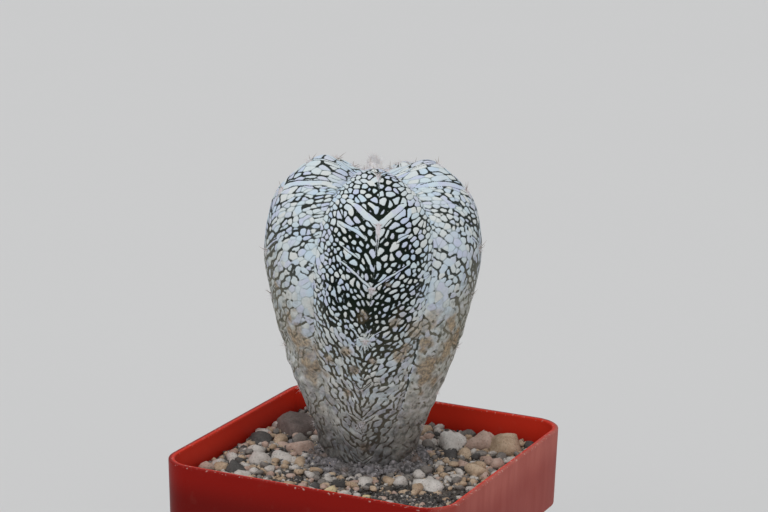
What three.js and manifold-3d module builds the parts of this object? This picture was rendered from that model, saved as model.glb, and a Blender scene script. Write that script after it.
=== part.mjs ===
// A five-ribbed star cactus, flecked all over, that stands in gravel in a small square plastic pot.
// Millimetres, +Z up. The origin is the middle of the foot that the pot stands on.

import * as THREE from "three";
import { mergeVertices } from "three/addons/utils/BufferGeometryUtils.js";
import Module from "manifold-3d";

const wasm = await Module();
wasm.setup();

// Driving dimensions.

const clearance = 0.3; // left between one piece and the next

const pot = {
  height: 56,
  wall: 1.2,
  rimHalf: 30, // half the width outside, at the rim
  rimCorner: 6.5,
  rimBevel: 0.35,
  bandHeight: 16, // the plain band under the rim
  bandTaper: 0.42, // how much narrower each side is at the foot of the band
  step: 1.2, // the body is set in this much below the band
  baseHalf: 23,
  baseCorner: 5,
  footOuter: 21.8, // the foot ring, flat on the table
  footInner: 17.6,
  footHeight: 1.2,
  footSlope: 0.5,
  drainRadius: 3,
  drainPlace: 9,
  cornerSteps: 6,
};

const soil = {
  top: 49.3,
  holeDepth: 10,
};

const gravel = {
  bedTop: 50.7,
  stoneLevel: 51.2, // the height of the stones' middles
  smallest: 1.4,
  largest: 2.0,
  tries: 420,
  spacing: 0.95, // the least distance of two stones, as a share of their radii together
  stemGap: 0.45,
  seed: 11,
};

// The larger stones: x, y and radius.
const largeStones = [
  [-26.3, -12.7, 1.6], [-25.9, -8.2, 1.5], [-23.4, -2.7, 1.5], [-19.6, -8.2, 2.0], [-17.0, -4.1, 2.4],
  [-15.4, 1.7, 2.5], [-11.9, -5.5, 1.6], [-25.5, 3.4, 2.0], [-22.0, 12.6, 3.8], [-21.5, -14.6, 2.0],
  [9.5, 18.6, 2.9], [15.7, -5.0, 2.2], [14.5, -7.9, 1.3], [16.5, 8.8, 1.2], [20.6, 6.0, 2.2],
  [14.8, 21.6, 2.7], [20.6, 21.2, 3.4], [23.8, 16.3, 1.5], [5.4, 16.4, 1.5], [1.0, 24.1, 1.5],
  [-10.5, 22.5, 2.9], [24.6, -1.2, 1.3], [22.6, 11.3, 1.6],
];

const plant = {
  x: -1.5, // where the stem stands
  y: 3.9,
  ground: 51.5, // the height of the gravel round the stem
  ribs: 5,
  facing: -64.2, // degrees, the way the front rib faces
  twistLow: -8, // degrees, at the ground and at the crown
  twistHigh: 4,
  // Radius and height above the ground along a rib's crest and along the groove, from the ground to the apex.
  crest: [
    [8.6, 0], [9.9, 4.5], [12, 10], [14.6, 16.4], [17.5, 25], [20, 34.5],
    [21.3, 42.5], [19.9, 51.7], [16.2, 57.2], [10.7, 60.5], [5.6, 58.7], [0, 56.9],
  ],
  groove: [
    [8.1, 0], [9.2, 4.5], [11.1, 10], [13.3, 16.4], [16, 25], [17.8, 34.5],
    [18.8, 42.5], [17.3, 50.5], [13.4, 55], [8.4, 57.2], [4.2, 57.2], [0, 56.9],
  ],
  crestSharpness: 0.35, // the share of a rib's section that is a ridge, the rest being a round arch
  crestRadius: 0.14,
  crownDrop: 1.28, // the crown leans back and to the left a little: how much its ribs lie lower
  crownLean: 1.5,
  crownTilt: 0.45,
  crownSag: 1,
  rootRadius: 5,
};

const flecks = {
  columns: 12, // across a rib
  rows: 56,
  height: 0.45,
  wander: 0.3, // how far a fleck strays from its row, as a share of the spacing
  chevronRise: 0.15, // how much higher a row lies in the groove than on the crest
  lastRow: 0.93,
  bandReach: 0.62, // how far across the rib the white band of an areole runs
  seed: 5,
};

// Areoles along the front crest and the others, from the ground to the crown, and how much higher a rib's row lies.
const areoles = {
  front: [0.19, 0.295, 0.4, 0.51, 0.635, 0.79, 0.872],
  others: [0.15, 0.26, 0.36, 0.46, 0.56, 0.685, 0.79, 0.88],
  ribShift: [0, 0, -0.03, 0.02, 0.005],
  radius: 0.95,
  thickness: 0.6,
  spineFrom: 0.35, // lower areoles have lost their spines
  spineLength: 2.4,
  spineRadius: 0.2,
  spineRoot: 0.7,
};

const crownWool = {
  tufts: 6,
  radius: 1.4,
  tall: 2.8, // how many times as high as wide the middle one is
  spread: 1.5,
  lift: 0.7,
};

const colours = {
  pot: 0xa82a18,
  soil: 0x4a4038,
  gravel: 0x9a8d80,
  cactus: 0xb9bcbc,
};

// Small helpers.

const degrees = THREE.MathUtils.degToRad;
const lerp = THREE.MathUtils.lerp;
const smooth = (low, high, x) => THREE.MathUtils.smoothstep(x, low, high);

// Random numbers from 0 to 1 that are the same each time.
function seeded(seed) {
  let state = seed;
  return () => {
    state = (state + 0x6d2b79f5) | 0;
    let t = Math.imul(state ^ (state >>> 15), 1 | state);
    t = (t + Math.imul(t ^ (t >>> 7), 61 | t)) ^ t;
    return ((t ^ (t >>> 14)) >>> 0) / 4294967296;
  };
}

function toSolid(geometry) {
  geometry.deleteAttribute("normal");
  geometry.deleteAttribute("uv");
  const merged = mergeVertices(geometry, 1e-4);
  return new wasm.Manifold(
    new wasm.Mesh({
      numProp: 3,
      vertProperties: merged.attributes.position.array,
      triVerts: new Uint32Array(merged.index.array),
    }),
  );
}

function toGeometry(solid) {
  const mesh = solid.getMesh();
  const geometry = new THREE.BufferGeometry();
  geometry.setAttribute("position", new THREE.BufferAttribute(mesh.vertProperties, 3));
  geometry.setIndex(new THREE.BufferAttribute(mesh.triVerts, 1));
  geometry.computeVertexNormals();
  return geometry;
}

// Drops the scraps that a cut leaves loose.
function largestBody(solid) {
  return solid.decompose().reduce((a, b) => (a.volume() > b.volume() ? a : b));
}

// A closed skin that starts in a point, runs through rings with as many points each, anticlockwise,
// and ends in a point. Each four-sided place in it is split along its shorter diagonal.
function skin(first, rings, last) {
  const points = [first, ...rings.flat(), last];
  const sides = rings[0].length;
  const at = (ring, i) => 1 + ring * sides + (i % sides);
  const length = (a, b) => points[a].distanceTo(points[b]);
  const faces = [];
  for (let i = 0; i < sides; i += 1) {
    faces.push(0, at(0, i + 1), at(0, i));
    for (let k = 0; k + 1 < rings.length; k += 1) {
      const [a, b, c, d] = [at(k, i), at(k, i + 1), at(k + 1, i + 1), at(k + 1, i)];
      if (length(a, c) <= length(b, d)) faces.push(a, b, c, a, c, d);
      else faces.push(a, b, d, b, c, d);
    }
    faces.push(at(rings.length - 1, i), at(rings.length - 1, i + 1), points.length - 1);
  }
  const geometry = new THREE.BufferGeometry().setFromPoints(points);
  geometry.setIndex(faces);
  return geometry;
}

const middle = (z) => new THREE.Vector3(0, 0, z);

// The pot.

function roundedSquare(half, corner, z) {
  const ring = [];
  const straight = half - corner;
  for (let side = 0; side < 4; side += 1) {
    const turn = (side * Math.PI) / 2;
    const centre = new THREE.Vector2(straight, straight).rotateAround(new THREE.Vector2(), turn);
    for (let i = 0; i <= pot.cornerSteps; i += 1) {
      const angle = turn + (i / pot.cornerSteps) * (Math.PI / 2);
      const x = centre.x + corner * Math.cos(angle);
      const y = centre.y + corner * Math.sin(angle);
      ring.push(new THREE.Vector3(x, y, z));
    }
  }
  return ring;
}

const bandFoot = pot.height - pot.bandHeight;
const bandFootHalf = pot.rimHalf - pot.bandTaper;
const bodyTopHalf = bandFootHalf - pot.step;
const floorTop = pot.footHeight + pot.wall;

const cornerAt = (z) => lerp(pot.baseCorner, pot.rimCorner, z / pot.height);
const bodyHalf = (z) => lerp(pot.baseHalf, bodyTopHalf, z / bandFoot);
const bandHalf = (z) => lerp(bandFootHalf, pot.rimHalf, (z - bandFoot) / pot.bandHeight);

const outside = (half, z) => roundedSquare(half, cornerAt(z), z);
// A ring on the inner face of the wall, or set in from it by a gap.
const inside = (half, z, gap = 0) => {
  const inset = pot.wall + gap;
  return roundedSquare(half - inset, cornerAt(z) - inset, z);
};

function makePot() {
  const { height, footHeight, footInner, footOuter, rimBevel, wall } = pot;
  const innerStep = bandFoot + wall;
  const rings = [
    outside(footInner - pot.footSlope, footHeight),
    outside(footInner, 0),
    outside(footOuter, 0),
    outside(bodyHalf(footHeight), footHeight),
    outside(bodyTopHalf, bandFoot),
    outside(bandFootHalf, bandFoot),
    outside(pot.rimHalf, height - rimBevel),
    roundedSquare(pot.rimHalf - rimBevel, cornerAt(height) - rimBevel, height),
    inside(pot.rimHalf, height),
    inside(bandHalf(innerStep), innerStep),
    inside(bodyHalf(innerStep), innerStep),
    inside(bodyHalf(floorTop), floorTop),
  ];
  let solid = toSolid(skin(middle(footHeight), rings, middle(floorTop)));
  for (const [sx, sy] of [[1, 1], [-1, 1], [-1, -1], [1, -1]]) {
    const drain = new THREE.CylinderGeometry(pot.drainRadius, pot.drainRadius, 4 * wall, 16);
    drain.rotateX(Math.PI / 2);
    drain.translate(sx * pot.drainPlace, sy * pot.drainPlace, floorTop);
    solid = solid.subtract(toSolid(drain));
  }
  return solid;
}

// The plant's form: a surface over ribs round the stem and v from 0 at the ground to 1 at the apex.

// A point on the smooth curve through a list of points, evenly spaced in v.
function along(points, v) {
  const x = THREE.MathUtils.clamp(v, 0, 1) * (points.length - 1);
  const i = Math.min(Math.floor(x), points.length - 2);
  const f = x - i;
  const at = (k) => {
    if (k < 0) return points[0].map((p, axis) => 2 * p - points[1][axis]);
    if (k < points.length) return points[k];
    return points.at(-1).map((p, axis) => 2 * p - points.at(-2)[axis]);
  };
  const [a, b, c, d] = [at(i - 1), at(i), at(i + 1), at(i + 2)];
  return [0, 1].map((axis) => {
    const cubic = 3 * b[axis] - a[axis] - 3 * c[axis] + d[axis];
    const square = 2 * a[axis] - 5 * b[axis] + 4 * c[axis] - d[axis];
    return 0.5 * (2 * b[axis] + (c[axis] - a[axis]) * f + square * f * f + cubic * f * f * f);
  });
}

// How far a point stands out towards the crest, from 1 on the crest to 0 in the groove.
function ribSection(t) {
  const { crestSharpness: sharp, crestRadius: e } = plant;
  const ridge = (Math.hypot(t, e) - e) / (Math.hypot(1, e) - e);
  return 1 - (sharp * ridge + (1 - sharp) * t * t);
}

// From 0 on the crest to 1 in the groove.
function across(ribs) {
  return Math.abs(ribs - Math.round(ribs)) * 2;
}

function plantPoint(ribs, v) {
  const crest = along(plant.crest, v);
  const groove = along(plant.groove, v);
  const share = ribSection(across(ribs));
  const radius = lerp(groove[0], crest[0], share);
  let height = lerp(groove[1], crest[1], share);
  const fromFront = (ribs / plant.ribs) * 2 * Math.PI;
  const lean = plant.crownTilt * Math.sin(fromFront) - plant.crownLean * Math.cos(fromFront);
  const lower = plant.crownDrop + lean + plant.crownSag * Math.cos(2 * fromFront);
  height -= lower * smooth(44, 60, height) * Math.min(radius / 8, 1);
  const twist = lerp(plant.twistLow, plant.twistHigh, smooth(5, 62, height));
  const angle = degrees(plant.facing + twist) + fromFront;
  return new THREE.Vector3(
    plant.x + radius * Math.cos(angle),
    plant.y + radius * Math.sin(angle),
    plant.ground + height,
  );
}

function plantNormal(ribs, v) {
  const round = plantPoint(ribs + 0.02, v).sub(plantPoint(ribs - 0.02, v));
  const up = plantPoint(ribs, v + 0.005).sub(plantPoint(ribs, v - 0.005));
  return round.cross(up).normalize();
}

// Rows of flecks rise from each crest to the grooves beside it, as chevrons.
function chevron(v, t) {
  const window = smooth(0, 0.3, v) * (1 - smooth(0.45, 1, v));
  return v + flecks.chevronRise * window * (1 - (1 - t) ** 1.3);
}

function areolePlaces(rib) {
  const places = rib === 0 ? areoles.front : areoles.others;
  return places.map((v) => v + areoles.ribShift[rib]);
}

// The ribbed body. Every second place of every second row stands out as a fleck, and so do the white bands.
function makeBody() {
  const random = seeded(flecks.seed);
  const rowStep = flecks.lastRow / flecks.rows;
  const count = plant.ribs * flecks.columns;
  const bandRows = [];
  for (let rib = 0; rib < plant.ribs; rib += 1) {
    bandRows.push(new Set(areolePlaces(rib).map((v) => Math.round(v / rowStep))));
  }
  const rings = [];
  for (let row = 0; row <= flecks.rows; row += 1) {
    const ring = [];
    for (let column = 0; column < count; column += 1) {
      let ribs = column / flecks.columns;
      let v = row * rowStep;
      const t = across(ribs);
      const isBand = bandRows[Math.round(ribs) % plant.ribs].has(row) && t < flecks.bandReach;
      const isFleck = row % 2 === 0 && (column + row / 2) % 2 === 0 && t > 0.1;
      const stray = row > 0 && row < flecks.rows ? flecks.wander : 0;
      const sideways = (random() - 0.5) * stray;
      const upward = (random() - 0.5) * stray;
      if (!isBand && t > 0 && t < 1) ribs += sideways / flecks.columns;
      if (!isBand) v += upward * rowStep;
      v = chevron(v, t);
      const point = plantPoint(ribs, v);
      const fade = smooth(0.04, 0.11, v) * (1 - smooth(0.85, 0.92, v));
      if (isBand || isFleck) point.addScaledVector(plantNormal(ribs, v), flecks.height * fade);
      ring.push(point);
    }
    rings.push(ring);
  }
  const root = rootRing(rings[0]);
  return toSolid(skin(rootEnd, [root, ...rings], plantPoint(0, 1)));
}

const rootEnd = new THREE.Vector3(plant.x, plant.y, soil.top - soil.holeDepth);

// The stem's foot narrows to a blunt root that rests on the floor of its hole.
function rootRing(ground) {
  return ground.map((point) => {
    const outward = point.clone().setZ(rootEnd.z).sub(rootEnd).normalize();
    return outward.multiplyScalar(plant.rootRadius).add(rootEnd);
  });
}

// Turns a piece that stands on +Z to stand along a direction, and moves it to its place.
function stand(geometry, direction, place) {
  const turn = new THREE.Quaternion().setFromUnitVectors(new THREE.Vector3(0, 0, 1), direction);
  geometry.applyQuaternion(turn);
  geometry.translate(place.x, place.y, place.z);
  return geometry;
}

// A felt pad on the crest, with two short spines on the younger ones.
function makeAreole(rib, v, random) {
  const place = plantPoint(rib, v);
  const outward = plantNormal(rib, v);
  const pad = new THREE.IcosahedronGeometry(areoles.radius, 0);
  pad.scale(1, 1, areoles.thickness);
  const pieces = [toSolid(stand(pad, outward, place))];
  if (v < areoles.spineFrom) return pieces;
  const upward = plantPoint(rib, v + 0.01).sub(place).normalize();
  const sideways = new THREE.Vector3().crossVectors(upward, outward);
  for (const side of [-1, 1]) {
    const { spineRadius, spineLength, spineRoot } = areoles;
    const direction = outward
      .clone()
      .addScaledVector(sideways, side * lerp(0.5, 0.9, random()))
      .addScaledVector(upward, lerp(0.1, 0.7, random()))
      .normalize();
    const spine = new THREE.ConeGeometry(spineRadius, spineLength + spineRoot, 3);
    spine.rotateX(Math.PI / 2);
    spine.translate(0, 0, (spineLength - spineRoot) / 2);
    pieces.push(toSolid(stand(spine, direction, place)));
  }
  return pieces;
}

// A tall tuft of wool on the apex, with lower ones round it.
function makeCrownWool() {
  const { radius, tall, spread, lift, tufts } = crownWool;
  const apex = plantPoint(0, 1);
  const core = new THREE.IcosahedronGeometry(radius, 0);
  core.scale(1, 1, tall);
  core.translate(apex.x, apex.y, apex.z + lift);
  const pieces = [toSolid(core)];
  for (let i = 0; i < tufts; i += 1) {
    const ball = new THREE.IcosahedronGeometry(radius, 0);
    const angle = (i / tufts) * 2 * Math.PI;
    ball.rotateZ(i);
    ball.translate(apex.x + spread * Math.cos(angle), apex.y + spread * Math.sin(angle), apex.z + lift);
    pieces.push(toSolid(ball));
  }
  return pieces;
}

function makeCactus() {
  const random = seeded(flecks.seed + 1);
  let solid = makeBody();
  for (let rib = 0; rib < plant.ribs; rib += 1) {
    for (const v of areolePlaces(rib)) {
      for (const piece of makeAreole(rib, v, random)) solid = solid.add(piece);
    }
  }
  for (const piece of makeCrownWool()) solid = solid.add(piece);
  return solid;
}

// The soil and the gravel.

// A body of revolution round the stem's foot, from a list of radius and height.
function roundStem(profile) {
  const lathe = new THREE.LatheGeometry(profile.map(([r, z]) => new THREE.Vector2(r, z)), 40);
  lathe.rotateX(Math.PI / 2);
  lathe.translate(plant.x, plant.y, 0);
  return toSolid(lathe);
}

function makeSoil() {
  const ledge = bandFoot + pot.wall + clearance;
  const rings = [
    inside(bodyHalf(floorTop), floorTop, clearance),
    inside(bodyHalf(ledge), ledge, clearance),
    inside(bandHalf(ledge), ledge, clearance),
    inside(bandHalf(soil.top), soil.top, clearance),
  ];
  const hole = roundStem([
    [0, rootEnd.z],
    [plant.rootRadius + clearance, rootEnd.z],
    [plant.crest[0][0] + clearance, soil.top],
    [plant.crest[0][0] + clearance, soil.top + 1],
    [0, soil.top + 1],
  ]);
  return toSolid(skin(middle(floorTop), rings, middle(soil.top))).subtract(hole);
}

// Places for the stones: the large ones first, then small ones wherever there is room.
function stonePlaces(random) {
  const stones = largeStones.map(([x, y, radius]) => ({ x, y, radius }));
  const reach = bandHalf(soil.top) - pot.wall - 1;
  for (let i = 0; i < gravel.tries; i += 1) {
    const radius = lerp(gravel.smallest, gravel.largest, random() ** 2);
    const x = lerp(-reach, reach, random());
    const y = lerp(-reach, reach, random());
    const fromStem = Math.hypot(x - plant.x, y - plant.y);
    const near = (s) => Math.hypot(x - s.x, y - s.y) < gravel.spacing * (radius + s.radius);
    if (fromStem > plant.crest[0][0] + 0.4 * radius && !stones.some(near)) stones.push({ x, y, radius });
  }
  return stones;
}

// A rounded pebble with a few flat places, wider than it is high.
function makeStone({ x, y, radius }, random) {
  const stone = mergeVertices(new THREE.IcosahedronGeometry(1, 0).deleteAttribute("normal").deleteAttribute("uv"));
  const corners = stone.attributes.position;
  for (let i = 0; i < corners.count; i += 1) {
    const knock = lerp(0.86, 1.12, random());
    corners.setXYZ(i, corners.getX(i) * knock, corners.getY(i) * knock, corners.getZ(i) * knock);
  }
  stone.rotateX(random() * 3);
  stone.scale(radius * lerp(0.95, 1.25, random()), radius * lerp(0.8, 1, random()), radius * 0.62);
  stone.rotateZ(random() * 3);
  stone.translate(x, y, gravel.stoneLevel + lerp(-0.2, 0.3, random()));
  return toSolid(stone);
}

function makeGravel() {
  const random = seeded(gravel.seed);
  const layer = (top) => {
    const rings = [soil.top, top].map((z) => inside(bandHalf(z), z, clearance));
    return toSolid(skin(middle(soil.top), rings, middle(top)));
  };
  let solid = layer(gravel.bedTop);
  for (const place of stonePlaces(random)) solid = solid.add(makeStone(place, random));
  const gap = gravel.stemGap;
  const stem = roundStem([
    [0, soil.top - 1],
    [plant.crest[0][0] + gap, soil.top - 1],
    [plant.crest[0][0] + gap, plant.ground],
    [plant.crest[1][0] + gap, plant.ground + plant.crest[1][1]],
    [0, plant.ground + plant.crest[1][1]],
  ]);
  return largestBody(solid.intersect(layer(pot.height)).subtract(stem));
}

// The whole.

function piece(name, solid, colour, roughness) {
  const material = new THREE.MeshStandardMaterial({ color: colour, roughness, metalness: 0 });
  const mesh = new THREE.Mesh(toGeometry(solid), material);
  mesh.name = name;
  return mesh;
}

const pottedCactus = new THREE.Group();
pottedCactus.add(
  piece("pot", makePot(), colours.pot, 0.45),
  piece("soil", makeSoil(), colours.soil, 0.95),
  piece("gravel", makeGravel(), colours.gravel, 0.85),
  piece("cactus", makeCactus(), colours.cactus, 0.8),
);

export default pottedCactus;
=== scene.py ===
import math
import time

import bpy
import numpy as np
from mathutils import Matrix, Vector


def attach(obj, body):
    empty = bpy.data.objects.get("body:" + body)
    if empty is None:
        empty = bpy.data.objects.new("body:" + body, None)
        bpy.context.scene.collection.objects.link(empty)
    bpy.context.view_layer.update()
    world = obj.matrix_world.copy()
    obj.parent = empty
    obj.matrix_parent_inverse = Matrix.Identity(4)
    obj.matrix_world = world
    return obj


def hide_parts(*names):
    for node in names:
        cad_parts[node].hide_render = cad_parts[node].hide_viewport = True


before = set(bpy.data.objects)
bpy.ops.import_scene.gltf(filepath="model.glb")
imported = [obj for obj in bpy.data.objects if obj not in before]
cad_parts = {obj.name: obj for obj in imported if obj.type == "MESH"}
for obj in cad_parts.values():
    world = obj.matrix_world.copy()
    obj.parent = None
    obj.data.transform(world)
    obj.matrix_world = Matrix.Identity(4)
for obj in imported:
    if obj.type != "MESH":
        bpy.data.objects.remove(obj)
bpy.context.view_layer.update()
started = time.time()

mm = 0.001          # lengths below are in millimetres, meshes are in metres


def say(text):
    print(f"{time.time() - started:6.1f} s  {text}")


# Shader maths

# One output in a material. Sums, differences, products and quotients of outputs add their Math nodes.
class Wire:
    def __init__(self, paint, socket):
        self.paint = paint
        self.socket = socket

    def __add__(self, other):
        return self.paint.maths("ADD", self, other)

    __radd__ = __add__

    def __mul__(self, other):
        return self.paint.maths("MULTIPLY", self, other)

    __rmul__ = __mul__

    def __sub__(self, other):
        return self.paint.maths("SUBTRACT", self, other)

    def __rsub__(self, other):
        return self.paint.maths("SUBTRACT", other, self)

    def __truediv__(self, other):
        return self.paint.maths("DIVIDE", self, other)


# A material being made. node() adds any node: its kind, its settings, its sockets and the output wanted.
class Paint:
    def __init__(self, name):
        self.material = bpy.data.materials.new(name)
        self.material.use_nodes = True
        self.tree = self.material.node_tree
        self.tree.nodes.clear()
        self.place = self.node("TexCoord", output="Object")

    def node(self, kind, settings=None, sockets=None, output=0):
        made = self.tree.nodes.new("ShaderNode" + kind)
        for key, value in (settings or {}).items():
            if key == "stops":
                self.setStops(made.color_ramp, value)
            else:
                setattr(made, key, value)
        for key, value in (sockets or {}).items():
            if isinstance(value, Wire):
                self.tree.links.new(value.socket, made.inputs[key])
            else:
                made.inputs[key].default_value = value
        return Wire(self, made.outputs[output])

    def setStops(self, ramp, stops):
        while len(ramp.elements) < len(stops):
            ramp.elements.new(1.0)
        for element, (position, colour) in zip(ramp.elements, stops):
            element.position = position
            element.color = (*colour, 1.0)

    def maths(self, operation, a, b):
        return self.node("Math", {"operation": operation}, {0: a, 1: b})

    # Noise from 0 to 1 with lumps about size millimetres wide.
    def noise(self, size, detail=2.0, rough=0.5, place=None):
        sockets = {"Vector": place or self.place, "Scale": 1 / (size * mm), "Detail": detail,
                   "Roughness": rough}
        return self.node("TexNoise", {}, sockets, "Fac")

    # The distance to the nearest of many scattered points, as a share of their spacing in millimetres.
    def cells(self, size):
        return self.node("TexVoronoi", {}, {"Vector": self.place, "Scale": 1 / (size * mm)}, "Distance")

    # One of the mesh's own attributes.
    def own(self, name):
        return self.node("Attribute", {"attribute_name": name}, {}, "Fac")

    # The height in millimetres.
    def height(self):
        return self.node("SeparateXYZ", {}, {0: self.place}, 2) / mm

    # 0 at low and 1 at high, smooth between them and level beyond them.
    def ramp(self, value, low, high):
        sockets = {"Value": value, "From Min": low, "From Max": high}
        return self.node("MapRange", {"interpolation_type": "SMOOTHSTEP"}, sockets)

    def mix(self, share, a, b):
        a, b = [c if isinstance(c, Wire) else (*c, 1.0) for c in (a, b)]
        return self.node("Mix", {"data_type": "RGBA"}, {0: share, 6: a, 7: b}, 2)

    def colours(self, value, stops):
        return self.node("ValToRGB", {"stops": stops}, {0: value})

    # The finished material. Depth is how far, in millimetres, a bump of 1 stands out.
    def finish(self, colour, roughness, bump=None, depth=0.0, specular=0.5):
        sockets = {"Base Color": colour, "Roughness": roughness, "Specular IOR Level": specular}
        if bump is not None:
            sockets["Normal"] = self.node("Bump", {}, {"Height": bump, "Distance": depth * mm})
        shader = self.node("BsdfPrincipled", {}, sockets)
        output = self.tree.nodes.new("ShaderNodeOutputMaterial")
        self.tree.links.new(shader.socket, output.inputs["Surface"])
        return self.material


# Meshes

# One mesh from points in millimetres and blocks of faces. The faces of a block all have as many corners.
def addPiece(name, points, blocks, material, replaced, attributes=None, sharpAngle=None):
    mesh = bpy.data.meshes.new(name)
    points = np.asarray(points, np.float32) * mm
    corners = np.concatenate([block.ravel() for block in blocks])
    sizes = np.concatenate([np.full(len(block), block.shape[1]) for block in blocks])
    starts = np.concatenate([[0], np.cumsum(sizes)[:-1]])
    mesh.vertices.add(len(points))
    mesh.vertices.foreach_set("co", points.ravel())
    mesh.loops.add(len(corners))
    mesh.loops.foreach_set("vertex_index", corners.astype(np.int32))
    mesh.polygons.add(len(sizes))
    mesh.polygons.foreach_set("loop_start", starts.astype(np.int32))
    for key, values in (attributes or {}).items():
        layer = mesh.attributes.new(key, "FLOAT", "POINT")
        layer.data.foreach_set("value", np.asarray(values, np.float32).ravel())
    mesh.update(calc_edges=True)
    mesh.validate()
    mesh.shade_smooth()
    if sharpAngle:
        mesh.set_sharp_from_angle(angle=math.radians(sharpAngle))
    mesh.materials.append(material)
    piece = bpy.data.objects.new(name, mesh)
    bpy.context.scene.collection.objects.link(piece)
    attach(piece, "root")
    if replaced:
        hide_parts(replaced)
    return piece


# The four corners of each place in a grid of points. A closed grid joins its last column to its first.
def gridFaces(rows, columns, closed=False):
    i, j = np.meshgrid(np.arange(rows - 1), np.arange(columns if closed else columns - 1), indexing="ij")
    low, high, right = i * columns, (i + 1) * columns, (j + 1) % columns
    return np.stack([low + j, low + right, high + right, high + j], -1).reshape(-1, 4)


# A fan from one point to a ring of points, which run anticlockwise seen from outside if out is true.
def fanFaces(centre, ring, out=True):
    following = np.roll(ring, -1)
    fan = np.stack([np.full_like(ring, centre), ring, following], -1)
    return fan if out else fan[:, ::-1]


# The faces of a closed skin over rings. Its points are the rings from the bottom up, a bottom and a top.
def skinFaces(levels, sides):
    ring, bottom = np.arange(sides), levels * sides
    return [gridFaces(levels, sides, closed=True), fanFaces(bottom, ring, out=False),
            fanFaces(bottom + 1, ring + (levels - 1) * sides)]


# A closed skin over rings of points, levels by sides by 3 and from the bottom up, with a point at each end.
def skinOver(rings, bottom, top):
    return np.vstack([rings.reshape(-1, 3), bottom, top]), skinFaces(*rings.shape[:2])


# The same faces for n shapes that follow one another, with as many points each.
def repeated(faces, n, each):
    shift = (np.arange(n) * each)[:, None, None]
    return [(block[None] + shift).reshape(-1, block.shape[1]) for block in faces]


# Several sets of points and faces as one set.
def joined(parts):
    starts = np.cumsum([0] + [len(points) for points, _ in parts])
    faces = [block + start for (_, faces), start in zip(parts, starts) for block in faces]
    return np.vstack([points for points, _ in parts]), faces


# Each vector divided by its length.
def unit(vectors):
    return vectors / (np.linalg.norm(vectors, axis=-1, keepdims=True) + 1e-12)


# 0 up to low and 1 from high on, and between them three squares less two cubes of the share.
def smooth(low, high, x):
    t = np.clip((x - low) / (high - low), 0, 1)
    return t * t * (3 - 2 * t)


scatter = (374761393, 668265263, 1442695041, 1013904223)    # large odd factors for x, y, z and the seed


# Value noise from -1 to 1: a random height at each corner of cubes of one size, blended smoothly between
# them. The heights come from the corner's whole coordinates, whose bits are stirred.
def lumps(points, size, seed):
    cell = np.floor(points / size).astype(np.int64)
    f = points / size - cell
    f = f * f * (3 - 2 * f)
    total = np.zeros(points.shape[:-1])
    for corner in np.ndindex(2, 2, 2):
        x, y, z = np.moveaxis(cell + corner, -1, 0)
        h = x * scatter[0] + y * scatter[1] + z * scatter[2] + seed * scatter[3]
        h = (h ^ (h >> 13)) * 1274126177
        h = (h ^ (h >> 16)) & 0xFFFF
        weight = np.prod(np.where(corner, f, 1 - f), axis=-1)
        total += weight * (h / 32767.5 - 1)
    return total


# The camera, solved from the four sides of the pot's rim

photoCamera = {
    "place": (186.11, -384.29, 199.45),     # millimetres
    "azimuth": 25.502,                      # degrees round from the front, above the horizon, and tilted
    "elevation": 13.976,
    "roll": -0.9304,
    "focalPixels": 2305.6,
    "photoWidth": 768,
    "sensor": 36,
    "clipStart": 0.01,                      # metres
}


# The camera looks back along the line that its two angles give, and is turned about it by the roll.
def addCamera():
    a, e, k = (math.radians(photoCamera[key]) for key in ("azimuth", "elevation", "roll"))
    back = Vector((math.sin(a) * math.cos(e), -math.cos(a) * math.cos(e), math.sin(e)))
    right = Vector((math.cos(a), math.sin(a), 0))
    up = back.cross(right)
    tiltedRight = right * math.cos(k) - up * math.sin(k)
    tiltedUp = right * math.sin(k) + up * math.cos(k)
    turn = Matrix((tiltedRight, tiltedUp, back)).transposed().to_4x4()
    data = bpy.data.cameras.new("photoCamera")
    data.sensor_width = photoCamera["sensor"]
    data.lens = photoCamera["focalPixels"] / photoCamera["photoWidth"] * photoCamera["sensor"]
    data.clip_start = photoCamera["clipStart"]
    camera = bpy.data.objects.new("photoCamera", data)
    camera.matrix_world = Matrix.Translation(Vector(photoCamera["place"]) * mm) @ turn
    bpy.context.scene.collection.objects.link(camera)
    bpy.context.scene.camera = camera


addCamera()
say("camera")

# The pot

pot = {
    "height": 56, "wall": 1.2, "rimHalf": 30, "rimCorner": 6.5, "bandHeight": 16, "bandTaper": 0.42,
    "step": 1.2, "baseHalf": 23, "baseCorner": 5, "footOuter": 21.8, "footInner": 17.6, "footHeight": 1.2,
    "footSlope": 0.5, "floorMargin": 2, "drainRadius": 3, "drainPlace": 9,
    "edgeRadius": 0.34, "edgeSteps": 5, "cornerSteps": 14, "sideSteps": 6, "drainSteps": 40, "sharpAngle": 50,
    # between which places the outside's pale film of dust and painted reflection sets in, and the painted
    # shade on the left inner wall
    "filmAndReflectionAcross": (26, 28.2), "filmAndReflectionUp": (0, 12), "filmAndReflectionBack": (-29, -5), "shadeAcross": (-26, -28),
}
# the inside colours hold painted light; the low outside colour and the inside shade are painted shade
potColours = {
    "outside": ((0.225, 0.0045, 0.0022), (0.270, 0.0070, 0.003)), "outsideShadedLow": (0.150, 0.0035, 0.0018),
    "inside": ((0.40, 0.016, 0.0075), (0.68, 0.036, 0.016)), "insideShade": (0.17, 0.004, 0.002),
    "dust": (0.42, 0.25, 0.19), "film": (1.0, 0.40, 0.32), "specks": (0.72, 0.55, 0.48),
}
bandFoot = pot["height"] - pot["bandHeight"]
bandFootHalf = pot["rimHalf"] - pot["bandTaper"]
bodyTopHalf = bandFootHalf - pot["step"]
floorTop = pot["footHeight"] + pot["wall"]


# The upright corners' radius and the half widths of the body and of its band, each linear in the height.
def cornerAt(z):
    return pot["baseCorner"] + (pot["rimCorner"] - pot["baseCorner"]) * z / pot["height"]


def bodyHalf(z):
    return pot["baseHalf"] + (bodyTopHalf - pot["baseHalf"]) * z / bandFoot


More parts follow.
